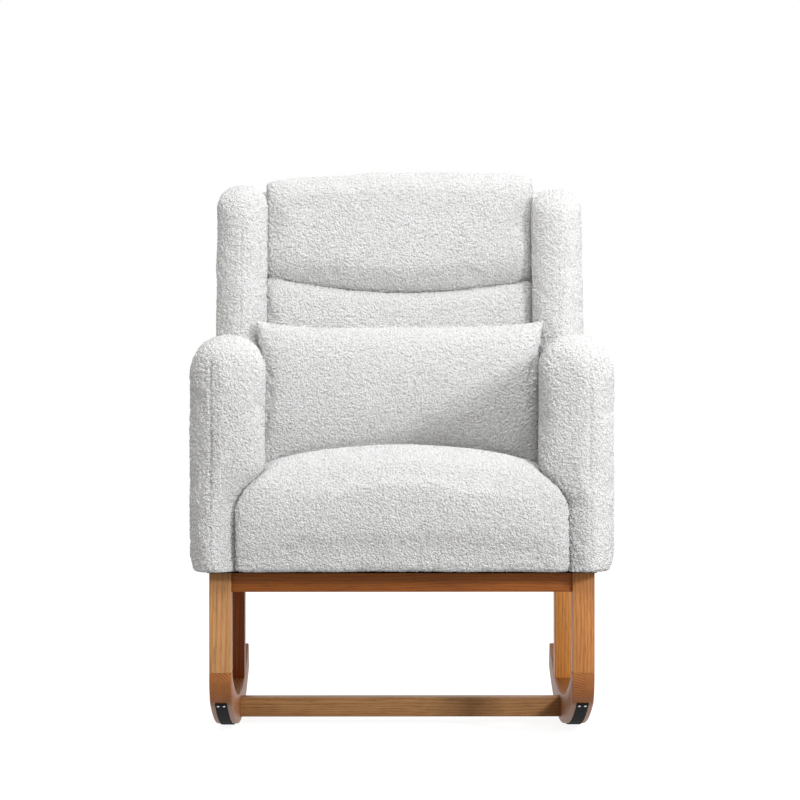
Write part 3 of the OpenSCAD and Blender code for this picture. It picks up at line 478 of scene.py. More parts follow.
def drawn_in(outline, distance):
    """The outline moved inwards by a distance along the mean of its two edges' normals."""
    d0 = outline - np.roll(outline, 1, 0)
    d1 = np.roll(outline, -1, 0) - outline
    d0 /= np.maximum(np.linalg.norm(d0, axis=1), 1e-12)[:, None]
    d1 /= np.maximum(np.linalg.norm(d1, axis=1), 1e-12)[:, None]
    area = np.sum(outline[:, 0] * np.roll(outline[:, 1], -1) - np.roll(outline[:, 0], -1) * outline[:, 1])
    tangent = d0 + d1
    tangent /= np.maximum(np.linalg.norm(tangent, axis=1), 1e-12)[:, None]
    normal = np.stack([-tangent[:, 1], tangent[:, 0]], -1) * np.sign(area)
    return outline + normal * distance


def timber(name, outline, start, stop, across, along, ease, material, pith=(0.05, 0.03)):
    """A board: a closed outline carried straight from start to stop, its two ends eased by a quarter round.
    across numbers the axis that it is carried along, and along the axis of its grain."""
    turn = np.linspace(0, math.pi / 2, 4)
    levels = np.concatenate([start + ease * (1 - np.cos(turn)), stop - ease * (1 - np.cos(turn[::-1]))])
    insets = np.concatenate([ease * (1 - np.sin(turn)), ease * (1 - np.sin(turn[::-1]))])
    rings = np.stack([drawn_in(outline, d) for d in insets])
    n = outline.shape[0]
    points = np.empty((len(levels), n, 3))
    others = [a for a in range(3) if a != across]
    points[..., others[0]], points[..., others[1]] = rings[..., 0], rings[..., 1]
    points[..., across] = levels[:, None]
    ends = [list(range(n))[::-1], [(len(levels) - 1) * n + k for k in range(n)]]
    obj = tidy_mesh(mesh_object(name, points, grid_faces(len(levels), n, False, True), ends), 1e-6)
    obj.data.set_sharp_from_angle(angle=math.radians(35))
    lay_grain(obj, along, pith)
    obj.data.materials.append(material)
    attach(obj, "chair")
    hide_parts(name.replace("_wood", ""))
    return obj


def lay_grain(obj, along, pith):
    """Stores each vertex's place along the grain and across it from the pith line as the attribute grain."""
    points = read_points(obj)
    others = [a for a in range(3) if a != along]
    centre = (points.max(0) + points.min(0)) / 2
    grain = np.stack([points[:, along] + centre[others[0]] * 7,
                      points[:, others[0]] - centre[others[0]] + pith[0],
                      points[:, others[1]] - centre[others[1]] + pith[1]], -1)
    attribute = obj.data.attributes.new("grain", "FLOAT_VECTOR", "POINT")
    attribute.data.foreach_set("vector", grain.astype(np.float32).ravel())


# %% [markdown]
# ## The rockers
# Each rocker is sawn from one thick board: a long arc underneath, a tight curve up the front
# to carry the leg, a small hollow behind the leg and a cut-off tail that stands up behind.
# The outline is built from the same arcs as the source, with many more points, and its edges are eased.

# %% Arcs of the rocker
rocker_r, rocker_h, rest_back = 0.900, 0.050, 0.356
toe_r, throat_r, tail_back, tail_round = 0.058, 0.010, 0.700, 0.008
flat_angle = math.asin(0.030 / 2 / (rocker_r + 0.002))
rest_point = np.array([leg_y + rest_back, (rocker_r + 0.002) * math.cos(flat_angle)])
top_r = rocker_r - rocker_h
toe = np.array([leg_y + toe_r, rest_point[1] - math.sqrt((rocker_r - toe_r) ** 2 - (rest_back - toe_r) ** 2)])
toe_angle = math.atan2(toe[1] - rest_point[1], toe[0] - rest_point[0])
leg_back_y = leg_y + leg_d
throat = np.array([leg_back_y + throat_r, rest_point[1]
                   - math.sqrt((top_r - throat_r) ** 2 - (rest_back - leg_d - throat_r) ** 2)])
throat_angle = math.atan2(throat[1] - rest_point[1], throat[0] - rest_point[0])
tail_angle = -math.pi / 2 + math.asin((tail_back - rest_back) / rocker_r)
joint_z = max(toe[1], throat[1]) + 0.001


def arc(centre, radius, start, stop, count):
    """Points on a circle from one angle to another."""
    a = np.linspace(start, stop, count)
    return np.stack([centre[0] + radius * np.cos(a), centre[1] + radius * np.sin(a)], -1)


def on_arc(radius, angle):
    """The point at a radius and an angle round the rocker's own centre."""
    return np.array([rest_point[0] + radius * math.cos(angle), rest_point[1] + radius * math.sin(angle)])


tail_low = tail_angle - tail_round / (rocker_r - tail_round)
tail_high = tail_angle - tail_round / (top_r + tail_round)
rocker_outline = np.concatenate([
    [[leg_y, joint_z]], arc(toe, toe_r, math.pi, toe_angle + 2 * math.pi, 24),
    arc(rest_point, rocker_r, toe_angle + 0.01, tail_low - 0.002, 90),
    arc(on_arc(rocker_r - tail_round, tail_low), tail_round, tail_angle, tail_angle + math.pi / 2, 6),
    arc(on_arc(top_r + tail_round, tail_high), tail_round, tail_angle + math.pi / 2, tail_angle + math.pi, 6),
    arc(rest_point, top_r, tail_high - 0.004, throat_angle, 90)[:-1],
    arc(throat, throat_r, throat_angle + 2 * math.pi - 0.05, math.pi, 14),
    [[leg_back_y, joint_z]]])
edge_ease = 0.0022
for side, sign in (("left", -1), ("right", 1)):
    x0, x1 = sorted((sign * leg_x, sign * (leg_x + leg_w)))
    timber(f"{side}_rocker_wood", rocker_outline, x0, x1, 0, 1, edge_ease, rocker_wood, (0.031, 0.045))
print("rocker joint at", round(joint_z, 4), "m")


# %% Legs, rails and stretcher
def low_edge(y):
    """Height of the rocker's upper face at a place along the chair."""
    return rest_point[1] - math.sqrt(top_r ** 2 - (y - rest_point[0]) ** 2)


rail_h, rail_t, rail_ease = 0.033, 0.025, 0.002
rail_z, front_rail_y, rear_rail_y = base_top - rail_h, leg_y + 0.008, rear_leg_y + 0.010
stretcher_y, stretcher_d, stretcher_low, stretcher_high = leg_y + 0.334, 0.045, 0.011, 0.045
side_screw_x = (arm_in + body_w / 2 - 0.018) / 2 - 0.007 + 0.009
leg_end, tight_end = 0.0008, 0.0003
# The rear legs' woods carry painted shade on the left and painted light on the right; the front legs differ
# only in tone.
board_of = {"left_front_leg": pale_wood, "right_front_leg": leg_wood, "left_rear_leg": dark_wood,
            "right_rear_leg": light_wood}
for side, sign in (("left", -1), ("right", 1)):
    x0, x1 = sorted((sign * leg_x, sign * (leg_x + leg_w)))
    for name, y0, foot in ((f"{side}_front_leg", leg_y, joint_z),
                           (f"{side}_rear_leg", rear_leg_y, low_edge(rear_leg_y))):
        outline = rounded_outline([[x0, y0], [x1, y0], [x1, y0 + leg_d], [x0, y0 + leg_d]], edge_ease)
        leg = timber(name + "_wood", outline, foot, base_top, 2, 2, leg_end, board_of[name],
                     (0.045 * sign, 0.06))
        if y0 == rear_leg_y:
            points = read_points(leg)
            low = points[:, 2] < foot + 0.002
            points[low, 2] += [low_edge(y) - foot - 0.0002 for y in points[low, 1]]
            write_points(leg, points)
    side_x = side_screw_x - rail_t * 0.3
    x0, x1 = sorted((sign * side_x, sign * (side_x + rail_t)))
    outline = rounded_outline([[x0, rail_z], [x1, rail_z], [x1, base_top], [x0, base_top]], rail_ease)
    timber(f"{side}_side_rail_wood", outline, leg_back_y, rear_leg_y, 1, 1, tight_end, rail_wood)
for name, y0, y1, z0, z1, pith, wood in (
        ("front_rail", front_rail_y, front_rail_y + rail_t, rail_z, base_top, (0.05, -0.06), rail_wood),
        ("rear_rail", rear_rail_y, rear_rail_y + rail_t, rail_z, base_top, (0.05, 0.04), rail_wood),
        ("stretcher", stretcher_y, stretcher_y + stretcher_d, stretcher_low, stretcher_high, (0.04, -0.05),
         pale_wood)):
    outline = rounded_outline([[y0, z0], [y1, z0], [y1, z1], [y0, z1]], rail_ease)
    timber(name + "_wood", outline, -leg_x, leg_x, 0, 0, tight_end, wood, pith)
print("rear legs stand on the rockers at", round(low_edge(rear_leg_y), 4), "m")

# %% [markdown]
# ## Small finishes
# The treads are black rubber, the nails and screws are bright steel and the frame inside is raw board.
# Their solids have the right shape already, so they only get a better finish than a plain colour.

# %% Rubber, steel, board, foam and webbing
def speckled(name, dark, light, scale, roughness, metallic=0.0, stretch=(1, 1, 1)):
    """A plain finish with a fine noise in its colour and its surface, drawn out along an axis by stretch."""
    material, tree, shader = new_material(name)
    where = tree.nodes.new("ShaderNodeTexCoord").outputs["Object"]
    turned = add_node(tree, "ShaderNodeMapping", {"Scale": stretch}, {"Vector": where})
    noise = add_node(tree, "ShaderNodeTexNoise", {"Scale": scale, "Detail": 4.0, "Roughness": 0.6},
                     {"Vector": turned.outputs[0]})
    colour = ramp(tree, noise.outputs["Fac"], [(0.35, dark), (0.65, light)])
    bump = add_node(tree, "ShaderNodeBump", {"Strength": 0.4, "Distance": 0.0003},
                    {"Height": noise.outputs["Fac"]})
    gloss = 0.5 if metallic else 0.15
    feed_shader(tree, shader, colour.outputs["Color"], bump,
                {"Roughness": roughness, "Metallic": metallic, "Specular IOR Level": gloss})
    return material


finishes = {
    "tread_rubber": speckled("tread_rubber", (0.003, 0.003, 0.003), (0.008, 0.008, 0.008), 700, 0.95),
    "steel": speckled("steel", (0.50, 0.50, 0.52), (0.66, 0.66, 0.68), 500, 0.34, 1.0),
    "frame_wood": speckled("frame_wood", (0.50, 0.35, 0.20), (0.64, 0.48, 0.30), 60, 0.75,
                           stretch=(1, 1, 0.1)),
    "dust_cloth": speckled("dust_cloth", (0.010, 0.010, 0.010), (0.022, 0.022, 0.022), 1500, 0.95),
    "webbing": speckled("webbing", (0.45, 0.36, 0.24), (0.62, 0.53, 0.38), 900, 0.9, stretch=(1, 0.3, 0.3)),
    "foam": speckled("foam", (0.78, 0.74, 0.62), (0.88, 0.85, 0.74), 600, 0.95),
    "base_wood": speckled("dowel_wood", (0.42, 0.22, 0.10), (0.58, 0.34, 0.16), 90, 0.6),
}
for part in frame["record"]["subparts"]:
    finish = finishes.get(part["material_slot"])
    if finish is not None:
        mesh = nodes[part["node"]].data
        mesh.materials.clear()
        mesh.materials.append(finish)
print("finishes:", sorted(finishes))

# %% [markdown]
# ## Stuffed pads
# A pad begins as a closed skin over its form, a few millimetres inside its neighbours.
# Cloth simulation then fills it as a maker's stuffing does: the skin is remeshed evenly and blown up for
# twenty frames without gravity, and each point's way is capped, so that the pad stays near its solid.
# Last it is held back to the room that frame and neighbours leave, so that two pads meet in a line.
# A sculpted bulge would do the same, but the simulation also rounds the ends and corners as cloth does.

# %% The section that arms and wings share
fleece_step = 0.0026
pressed = 0.0060
print("a pad starts", pressed * 1000, "mm inside its neighbours and is then held back flat")


def wall_ring(side, top, foot, under, e):
    """Codes of the ring round an upright pad: share across, rise up its side, part of the arch, part of the
    foot and how far the foot is drawn in. The arch is a superellipse with power 2/e."""
    f, a = np.arange(side) / side, np.linspace(0, math.pi, top + 1)
    g, u = np.linspace(0, math.pi / 2, foot + 1)[1:], np.linspace(1, -1, under + 1)[1:-1]
    none, walls = np.zeros(len(u) + 2 * foot), np.zeros(2 * side + top + 1)
    across = np.concatenate([-np.ones(side), -signed_power(np.cos(a), e), np.ones(side + foot), u,
                             -np.ones(foot)])
    rise = np.concatenate([f, np.ones(top + 1), f[::-1], none])
    arched = np.concatenate([np.zeros(side), signed_power(np.abs(np.sin(a)), e), np.zeros(side), none])
    tucked = np.concatenate([walls, np.sin(g), np.ones(len(u)), np.sin(g)[::-1]])
    drawn = np.concatenate([walls, 1 - np.cos(g), np.ones(len(u)), 1 - np.cos(g)[::-1]])
    return across, rise, arched, tucked, drawn


nose_point, nose_full = 1.15, 2.2


def nose_curve(length, half, step):
    """Depths and shares of the width along a nose, evenly spaced: depth is the length times one minus
    (1 - share to the power point) to the power 1/full. A point near 1 leaves a ridge at the seam."""
    share = np.linspace(0, 1, 2000)
    depth = length * (1 - (1 - share ** nose_point) ** (1 / nose_full))
    run = np.concatenate([[0], np.cumsum(np.hypot(np.diff(depth), np.diff(share) * half))])
    even = np.linspace(0, run[-1], max(8, int(run[-1] / step)))
    return np.interp(even, run, depth), np.interp(even, run, share)


def closed_pad(name, rings, seam_first=False, seam_last=False):
    """A closed mesh through rings of points: each end is drawn together to the middle of its ring, unless
    that ring is a sewn line already, run up on one side and down on the other."""
    n = rings.shape[1]
    middles = [np.repeat(ring.mean(1, keepdims=True), n, 1) for ring in (rings[:1], rings[-1:])]
    rings = np.concatenate([middles[0][:0 if seam_first else 1], rings, middles[1][:0 if seam_last else 1]])
    obj = tidy_mesh(mesh_object(name, rings, grid_faces(rings.shape[0], n, False, True)))
    bm = bmesh.new()
    bm.from_mesh(obj.data)
    loose = sum(1 for edge in bm.edges if len(edge.link_faces) != 2)
    print(name, "open or crossed edges:", loose, "volume in litres:", round(bm.calc_volume() * 1000, 2))
    bm.free()
    return obj


def apply_modifiers(obj):
    """Puts the result of the object's modifiers into its mesh."""
    graph = bpy.context.evaluated_depsgraph_get()
    mesh = bpy.data.meshes.new_from_object(obj.evaluated_get(graph))
    old = obj.data
    obj.modifiers.clear()
    obj.data = mesh
    bpy.data.meshes.remove(old)
    mesh.shade_smooth()


def swell(obj, voxel, pressure, cap, room):
    """Blows the closed skin up as cloth: an even remesh, 20 frames under pressure without gravity, each
    point's way eased to at most the cap, and then held inside the room that its neighbours leave it."""
    even = obj.modifiers.new("even", "REMESH")
    even.mode, even.voxel_size = "VOXEL", voxel
    apply_modifiers(obj)
    start = read_points(obj)
    cloth = obj.modifiers.new("swell", "CLOTH")
    cloth.settings.quality = 4
    cloth.settings.mass = 0.3
    cloth.settings.use_pressure = True
    cloth.settings.uniform_pressure_force = pressure
    cloth.settings.effector_weights.gravity = 0
    cloth.collision_settings.use_collision = False
    cloth.point_cache.frame_start, cloth.point_cache.frame_end = 1, 20
    for number in range(1, 21):
        bpy.context.scene.frame_set(number)
    apply_modifiers(obj)
    bpy.context.scene.frame_set(1)
    way = read_points(obj) - start
    length = np.maximum(np.linalg.norm(way, axis=1), 1e-9)[:, None]
    write_points(obj, room(start + way / length * cap * np.tanh(length / cap)))
    finer = obj.modifiers.new("finer", "SUBSURF")
    finer.levels = finer.render_levels = 1
    apply_modifiers(obj)
    write_points(obj, room(read_points(obj)))
    print(obj.name, "swelled by", round(float(np.abs(way).max()) * 1000, 1), "mm before the cap")
    return obj


def press_foot(obj):
    """Presses a pad's foot flat on the base: heights over the base within a band shrink to their square
    over the band, and nothing goes below it."""
    points, band = read_points(obj), 0.012
    over = np.maximum(points[:, 2] - body_z, 0)
    points[:, 2] = body_z + np.where(over < band, over * over / band, over)
    write_points(obj, points)


def dress(obj, seed, replaces, body="chair"):
    grow_curls(obj, seed)
    press_foot(obj)
    obj.data.materials.append(white_fleece)
    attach(obj, body)
    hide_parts(*replaces)
    print(obj.name, len(obj.data.polygons), "faces")


# %% [markdown]
# ## Arms
# An arm is one upright padded wall. Its front is a full rounded nose, sewn up its middle,
# its top is rounded across and falls away to the nose, and the seat pushes it outwards below.
# The grid runs round the section and back along the arm, and its first line is the seam of the nose.

# %% The arms
nose_long, arm_arch, arm_power = 0.058, 0.074, 2.5


def inner_x(y, z):
    """Half the space between the arms: less at the noses above the seat, more under it at the front."""
    nose = 1 - smooth((y + body_d / 2 - 0.060) / 0.150)
    low = smooth((seat_side + 0.002 - z) / 0.078)
    return arm_in + nose * mix(-nose_swell, seat_flare, low)


def beside_nose(y, z):
    """How far the seat may spread over the inner side of an arm's nose: half the arm times one minus the
    nose's share of its width at that depth, less a gap of 2 mm and 9 mm at most."""
    deep = np.clip((y - front_y) / nose_long, 0, 1)
    share = np.maximum(1 - (1 - deep) ** nose_full, 0) ** (1 / nose_point)
    return np.clip((body_w / 2 - inner_x(y, z)) / 2 * (1 - share) - 0.002, 0, 0.009)


def arm_grid(step, aside):
    """Points of the right arm: section ring by depth. The depth runs from the seam of the nose to the plane
    of the back; the crest falls by a quarter round of 76 mm towards the nose. The seam stands aside of the
    nose's middle, and the belly is a little fuller than the board behind it."""
    across, rise, arched, tucked, drawn = wall_ring(int(0.30 / step), int(0.19 / step), 4, int(0.09 / step),
                                                    2 / arm_power)
    nose_d, nose_s = nose_curve(nose_long, 0.058, step)
    along = np.linspace(0, 1, int(0.62 / step))[1:]
    depth = np.concatenate([nose_d, np.full(len(along), nose_d[-1])])[:, None]
    far = np.concatenate([np.zeros(len(nose_d)), along])[:, None]
    share = np.concatenate([nose_s, np.ones(len(along))])[:, None]
    reach = depth + far * 0.60
    crest = arm_top - quarter_inset(reach, 0.076)
    foot = 0.010
    low = body_z + quarter_inset(reach, foot)
    arch = np.minimum(arm_arch, (crest - low) / 2)
    z = low + foot * (1 - tucked) + rise * (crest - arch - low - foot) + arch * arched
    y = front_y + depth + far * (plane_y(post_w1 + pressed, z) - front_y - depth)
    x_in, x_out = inner_x(y, z), body_w / 2
    centre, half = (x_in + x_out) / 2, (x_out - x_in) / 2 * share
    x = centre + across * (half - np.minimum(foot, half) * drawn * (across > 0)) + aside * (1 - share)
    x += 0.0035 * np.exp(-((z - 0.50) / 0.10) ** 2) * np.maximum(across, 0) * share
    return np.stack([x, y, z], -1)


def arm_room(points):
    """Keeps an arm on its base plane, outside the seat, before the back and within 3.5 mm of its board."""
    x, y, z = np.abs(points[:, 0]), points[:, 1], np.maximum(points[:, 2], body_z)
    y = np.minimum(y, plane_y(post_w1 + 0.002, z))
    x = np.clip(x, inner_x(y, z) - 0.001, body_w / 2 + 0.0035)
    return np.stack([x * np.sign(points[:, 0]), y, z], -1)


seam_depth, seam_width = 0.0024, 0.0025


def sew(obj, place, front, low, high):
    """A seam up a nose: points near the line's plane sink by a bell curve of their distance to it."""
    points, normals = read_points(obj), read_normals(obj)
    near = np.exp(-((points[:, 0] - place) / seam_width) ** 2) * (normals[:, 1] < -0.5)
    near *= smooth((points[:, 2] - low) / 0.04) * smooth((high - points[:, 2]) / 0.04)
    near *= points[:, 1] < front
    write_points(obj, points - normals * (near * seam_depth)[:, None])


for side, sign in (("left", -1), ("right", 1)):
    aside = 0.009 if sign < 0 else 0.003
    points = arm_grid(fleece_step, aside)
    seam_x = sign * float(points[0, 0, 0])
    points[..., 0] *= sign
    arm = swell(closed_pad(f"{side}_arm", points, True), 0.0048, 3.0, 0.004, arm_room)
    sew(arm, seam_x, front_y + 0.06, body_z, arm_top - 0.02)
    dress(arm, 11 if sign < 0 else 23, replaces=[f"{side}_arm_pad"])

# %% [markdown]
# ## Wings
# The wings are the arms' upper halves beside the head: the same upright pad, made in the leaning frame of
# the back. Each stands on its arm, so its foot follows the arm's rounded top.

# %% The wings
def arm_height(x):
    """Height of an arm's top at a place across the chair, behind its nose."""
    half = (body_w / 2 - arm_in) / 2
    u = np.clip(np.abs((np.abs(x) - (arm_in + half)) / half), 0, 1)
    return arm_top - arm_arch + arm_arch * (1 - u ** arm_power) ** (1 / arm_power)


wing_nose, wing_sunk = 0.046, 0.006


def wing_grid(step, worn):
    """Points of the right wing in (across, through, up) of the back, then in the room. The crest falls by a
    quarter round of 80 mm towards the nose, and stands lower by what the wing is worn down."""
    across, rise, arched, tucked, drawn = wall_ring(int(0.26 / step), int(0.14 / step), 2, int(0.06 / step),
                                                    2 / 2.3)
    nose_d, nose_s = nose_curve(wing_nose, 0.044, step)
    full = wing_out + post_w1 + pressed
    along = np.linspace(0, 1, int((full - wing_nose) / step))[1:]
    depth = np.concatenate([nose_d, mix(nose_d[-1], full, along)])[:, None]
    share = np.concatenate([nose_s, np.ones(len(along))])[:, None]
    w = depth - wing_out
    top = up_back(wing_top - worn, 0.020)
    crest = top - quarter_inset(depth, 0.080) - quarter_inset(full - depth, 0.006)
    centre, half, foot = wing_in + wing_w / 2, wing_w / 2 * share, 0.003
    x = centre + across * (half - np.minimum(foot, half) * drawn)
    low = up_back(arm_height(x) - wing_sunk, w)
    arch = 0.040
    v = low + foot * (1 - tucked) + rise * (crest - arch - low - foot) + arch * arched
    return back_to_room(x, w + 0 * x, v)


def wing_room(points):
    """Keeps a wing over its arm, before the back and beside the pads."""
    x, w, v = room_to_back(points)
    side = np.abs(x)
    side = np.clip(side, np.where(w > -0.010, wing_in, wing_in - 0.003), wing_in + wing_w + 0.002)
    w = np.minimum(w, post_w1 + 0.002)
    return back_to_room(side * np.sign(x), w, np.maximum(v, up_back(arm_height(side) - wing_sunk, w)))


for side, sign in (("left", -1), ("right", 1)):
    points = wing_grid(fleece_step, 0.007 if sign > 0 else 0.0)
    points[..., 0] *= sign
    wing = swell(closed_pad(f"{side}_wing", points, True), 0.0048, 3.0, 0.004, wing_room)
    sew(wing, sign * (wing_in + wing_w / 2), 1.0, arm_top - 0.02, wing_top - 0.03)
    dress(wing, 31 if sign < 0 else 43, replaces=[f"{side}_wing_pad"])

# %% [markdown]
# ## Seat
# The seat is a sprung pad with a crowned top and a deep rolled front. It sinks towards the back and
# towards the arms, spreads under their noses, and draws in where it meets them.

# %% The seat cushion
pad_foot_z = body_z + 0.070


def seat_height(u, y):
    """Height of the seat's top: crowned across, lower towards the back."""
    rear = plane_y(0, pad_foot_z)
    t = np.clip((y - front_y - 0.004) / (rear - front_y - 0.004), 0, 1)
    return mix(seat_side, seat_crown, 1 - u * u) - seat_drop * t ** 1.5


def seat_grid(step):
    """Points of the seat: for every share across, an upright profile of foot, front face, roll, top, rear
    and underside."""
    run = np.linspace(-1, 1, int(0.54 / step))
    u = np.sin(run * math.pi / 2) * 0.25 + run * 0.75
    t = np.clip((np.abs(u) - 0.88) / 0.12, 0, 1)
    ends = (1 - np.sqrt(np.maximum(0, 1 - t * t)))[:, None]
    u = u[:, None]
    roll, edge, low = 0.066, 0.012, body_z
    y0 = front_y + 0.004 + 0.016 * ends
    y1 = plane_y(0, pad_foot_z) - 0.0005
    fall = 0.014 * ends
    top0 = seat_height(u, y0 + roll) - fall
    one = np.ones_like(u)
    a = np.linspace(math.pi * 1.5, math.pi, 6)[None]
    foot_y, foot_z = y0 + edge + edge * np.cos(a), low + edge + edge * np.sin(a)
    f = np.linspace(0, 1, int(0.13 / step))[None, 1:-1]
    face_z = mix(low + edge, top0 - roll, f)
    face_y = y0 - 0.004 * np.sin(f * math.pi) * one
    b = np.linspace(math.pi, math.pi / 2, int(0.105 / step))[None]
    roll_y, roll_z = y0 + roll + roll * np.cos(b), top0 - roll + roll * np.sin(b)
    g = np.linspace(0, 1, int(0.48 / step))[None, 1:]
    top_y = mix(y0 + roll, y1 - 0.02, g)
    top_z = seat_height(u, top_y) - fall
    end_z = seat_height(u, y1 * one) - fall
    under = np.linspace(0, 1, 12)[None]
    rear_y = np.concatenate([y1 - 0.006 * one, y1 * one, y1 * one, mix(y1, leg_y, under) * one], 1)
    rear_z = np.concatenate([end_z - 0.006, end_z - 0.022, (low + 0.05) * one, low * np.ones((len(u), 12))],
                            1)
    y = np.concatenate([part * one for part in (foot_y, face_y, roll_y, top_y, rear_y)], 1)
    z = np.concatenate([part * one for part in (foot_z, face_z, roll_z, top_z, rear_z)], 1)
    return np.stack([u * (inner_x(y, z) + beside_nose(y, z) + pressed), y, z], -1)


def between_arms(points):
    """Keeps the seat between the arms, over its base and in front of the back pad."""
    x, y, z = points.T
    reach = inner_x(y, z) + beside_nose(y, z) + 0.0010
    z = np.maximum(z, body_z)
    y = np.minimum(y, np.where(z > pad_foot_z, plane_y(0, z), plane_y(0, pad_foot_z)) - 0.0005)
    return np.stack([np.clip(x, -reach, reach), y, z], -1)


seat = swell(closed_pad("seat", seat_grid(fleece_step)), 0.0055, 4.0, 0.006, between_arms)
dress(seat, 57, replaces=["seat_cushion"])

# %% [markdown]
# ## Back pads
# Two pads fill the back between the wings: a tall lower pad and a head pad that overhangs it.
# They are soft boxes: a superellipse through the thickness, drawn in at its two ends against the wings.

# %% The back pads
def seam_z(u):
    """Height of the seam between the two pads."""
    return seam_mid + 0.003 + seam_rise * (u - 0.05) ** 2


def pad_grid(step, low_v, high_v, w0, w1, e, tight):
    """Points of a back pad: for each share across, a superellipse in thickness and height; both shrink to the
    rear plane by (1 - share to the power tight) to the power 1/tight at the ends."""
    run = np.linspace(-1, 1, int(2 * wing_in / step))
    u = (0.6 * run + 0.4 * np.sin(run * math.pi / 2))[:, None]
    k = (1 - np.abs(u) ** tight) ** (1 / tight)
    low, high = low_v(u), high_v(u)
    c, h, d = (low + high) / 2, (high - low) / 2, (w1 - w0) / 2
    size = 2 * (float((high - low).max()) + (w1 - w0))
    a = np.linspace(0, 2 * math.pi, int(size / step), endpoint=False)[None]
    v = c + h * mix(1, k, 0.30) * signed_power(np.sin(a), e)
    w = w1 - d * k - d * k * signed_power(np.cos(a), e)
    return back_to_room(u * (wing_in + pressed) * np.ones_like(a), w, v)


def between_wings(points, rear, low=None, high=None):
    """Keeps a pad between the wings, in front of its posts and on its own side of the seam."""
    x, w, v = room_to_back(points)
    x = np.clip(x, -wing_in - 0.0010, wing_in + 0.0010)
    u = x / wing_in
    w = np.minimum(w, rear)
    v = np.maximum(v, low(u)) if low else v
    v = np.minimum(v, high(u)) if high else v
    return back_to_room(x, w, v)


def upper_edge(u):
    """Height of the head pad's top: an arch that stands a little higher on the right."""
    return back_top - 0.0158 * (u - 0.2) ** 2


pad_low_v = (body_z + 0.071 - seat_side + pad_t * math.sin(lean)) / math.cos(lean)
lower = pad_grid(fleece_step, lambda u: pad_low_v + 0 * u, lambda u: up_back(seam_z(u), 0) + pressed * 1.6,
                 0.0, pad_t, 0.42, 16)
lower = swell(closed_pad("lower_back", lower), 0.0045, 4.0, 0.006, lambda p: between_wings(
    p, pad_t, high=lambda u: up_back(seam_z(u) + 0.0008, 0)))
dress(lower, 61, replaces=["lower_back_pad"])
upper = pad_grid(fleece_step, lambda u: up_back(seam_z(u), 0) - pressed,
                 lambda u: up_back(upper_edge(u), post_w1 / 2) + pressed * 0.6, -0.004, post_w1, 0.48, 14)
upper = swell(closed_pad("upper_back", upper), 0.0045, 4.0, 0.006, lambda p: between_wings(
    p, post_w1, low=lambda u: up_back(seam_z(u), 0)))
dress(upper, 73, replaces=["upper_back_pad"])

# %% [markdown]
# ## Outer back
# The rear is closed by one padded panel, pulled over its edges and sewn down.

# %% The outer back panel
def outer_grid(step):
    """Points of the panel in columns across: each goes up the outside, over a thin rounded edge and down
    the inside."""
    run = np.linspace(-1, 1, int(0.70 / step))
    u = (0.8 * run + 0.2 * np.sin(run * math.pi / 2))[:, None]
    xa, xw, rw = body_w / 2 - 0.0015, wing_in + wing_w - 0.0015, 0.036
    zw = wing_top - 0.004 - rw
    x_top = np.abs(u) * xw
    corner = zw + np.sqrt(np.maximum(0, rw * rw - np.maximum(0, x_top - (xw - rw)) ** 2))
    arched = mix(outer_top, zw + rw, np.clip(x_top / (xw - rw), 0, 1) ** 2)
    top = np.where(x_top > xw - rw, corner, arched)
    f = np.linspace(0, 1, int(0.70 / step))[None]
    up = np.concatenate([f, f[:, ::-1]], 1)
    z = mix(body_z, top, up)
    bend = 0.5 + 0.5 * np.tanh((z - (arm_top - 0.022)) / 0.012)
    half = mix(xa, xw, bend)
    edge = np.minimum(np.sin(np.clip(up * 60, 0, math.pi / 2)),
                      np.sin(np.clip((1 - up) * 60, 0, math.pi / 2)))
    edge = edge * np.sqrt(np.maximum(0, 1 - np.abs(u) ** 60))
    middle = back_depth - outer_t / 2
    face = np.concatenate([np.ones_like(f), -np.ones_like(f)], 1)
    w = middle + face * outer_t / 2 * edge
    z = np.maximum(z, body_z)
    return back_to_room(u * half, w * np.ones_like(u), up_back(z, w))


dress(closed_pad("outer_back", outer_grid(fleece_step), True, True), 83, replaces=["outer_back_panel"])

# %% [markdown]
# ## Dust cloth
# Thin black cloth closes the body underneath. It is stapled round its edge and sags a little between
# the rails.

# %% The dust cloth
sheet_aside, sheet_front, sheet_rear, sheet_sag, sheet_lines = 0.026, 0.022, 0.012, 0.003, 120


def dust_grid():
    """A flat rectangle, drawn in from the body's edges, that sags inside the rails by a product of two
    sines."""
    x = np.linspace(-body_w / 2 + sheet_aside, body_w / 2 - sheet_aside, sheet_lines)[:, None]
    y = np.linspace(front_y + sheet_front, plane_y(back_depth, body_z) - sheet_rear, sheet_lines)[None]
    sx = np.clip((x + 0.26) / 0.52, 0, 1)
    sy = np.clip((y - leg_y - 0.04) / 0.46, 0, 1)
    z = base_top + 0.0006 - sheet_sag * np.sin(sx * math.pi) * np.sin(sy * math.pi)
    return np.stack([x + 0 * y, y + 0 * x, z], -1)


dust_points = dust_grid()
dust_faces = grid_faces(sheet_lines, sheet_lines, False, False)[:, ::-1]
dust = mesh_object("dust_sheet", dust_points, dust_faces)
tidy_mesh(dust, outward=False)
dust.data.materials.append(finishes["dust_cloth"])
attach(dust, "chair")
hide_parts("dust_cover")
print("dust sheet", [round(float(np.ptp(dust_points[..., k])), 3) for k in (0, 1)], "m")

# %% [markdown]
# ## Lumbar pillow
# A loose oblong pillow leans on the back and stands on the seat. It is plump in the middle,
# its long edges dip, its short edges curve inwards, and its upper corners stick out as ears.

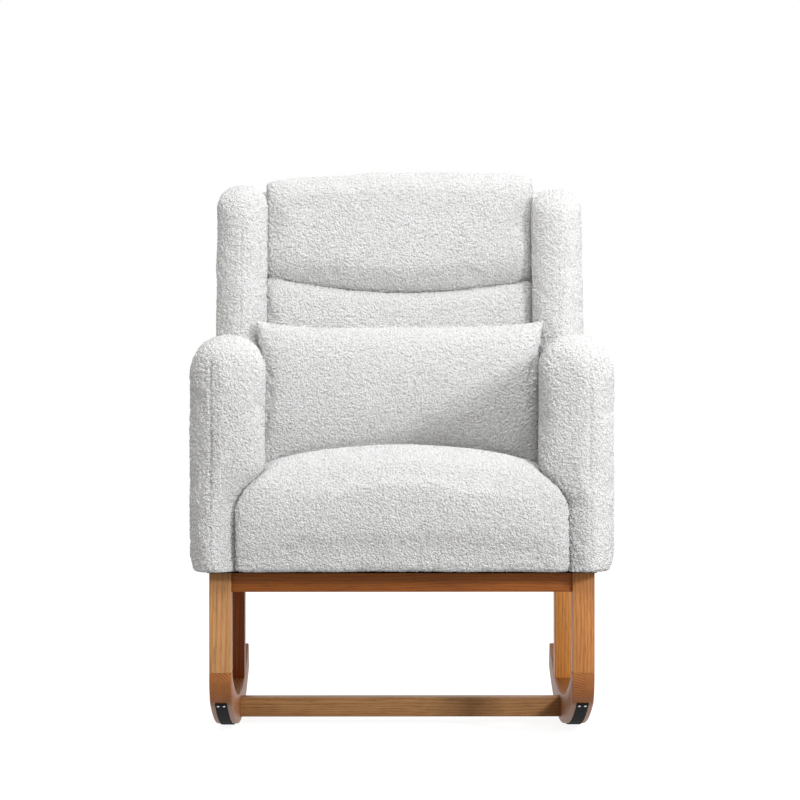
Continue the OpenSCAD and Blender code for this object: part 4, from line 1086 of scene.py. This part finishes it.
# %% The pillow
pillow_w, pillow_ears, pillow_h, pillow_t = 0.494, 0.524, 0.258, 0.124
pillow_y = plane_y(-pillow_t / 2, seat_side - seat_drop / 2)


def pillow_grid(step):
    """Points of the pillow: for each share across, a soft ring in thickness and height. Thickness falls as
    the root of one minus the share to the power 3.5; the height dips between the ears."""
    run = np.linspace(-1, 1, int(0.50 / step))
    u = (0.55 * run + 0.45 * np.sin(run * math.pi / 2))[:, None]
    k = np.sqrt(np.maximum(0.008, 1 - np.abs(u) ** 3.5))
    rear = -0.003 - (1 - k) * (wing_out + 0.006)
    front = 0.001 - pillow_t + (1 - k) * (pillow_t - wing_out - 0.018)
    low = up_back(seat_height(u * pillow_w / 2 / arm_in, pillow_y - 0.020) - 0.0015, -pillow_t / 2)
    low0 = up_back(seat_height(np.zeros((1, 1)), pillow_y - 0.020) + 0.0005, -pillow_t / 2)
    high = low0 + pillow_h + 0.004 - 0.009 * (1 - np.abs(u) ** 3)
    c, h, m, d = (low + high) / 2, (high - low) / 2, (rear + front) / 2, (rear - front) / 2
    a = np.linspace(0, 2 * math.pi, int(0.72 / step), endpoint=False)[None]
    up = signed_power(np.sin(a), 0.8)
    s = (up + 1) / 2
    half = mix(arm_in + pressed, pillow_ears / 2 + pressed * 0.6, s ** 9)
    return back_to_room(u * half, m + d * signed_power(np.cos(a), 0.9), c + h * up)


def on_the_seat(points):
    """Keeps the pillow in front of the back pad, over the seat and between the arms."""
    x, w, v = room_to_back(points)
    placed = back_to_room(x, np.minimum(w, -0.0005), v)
    placed[:, 2] = np.maximum(placed[:, 2], seat_height(x / arm_in, placed[:, 1]) + 0.0003)
    room = np.where(placed[:, 2] < arm_height(arm_in + 0.002) + 0.030,
                    inner_x(placed[:, 1], placed[:, 2]) - 0.0005, 1.0)
    placed[:, 0] = np.clip(x, -room, room)
    return placed


pillow = swell(closed_pad("pillow", pillow_grid(fleece_step)), 0.0042, 4.0, 0.007, on_the_seat)
dress(pillow, 91, replaces=["pillow_cover", "pillow_fill"], body="lumbar_pillow")
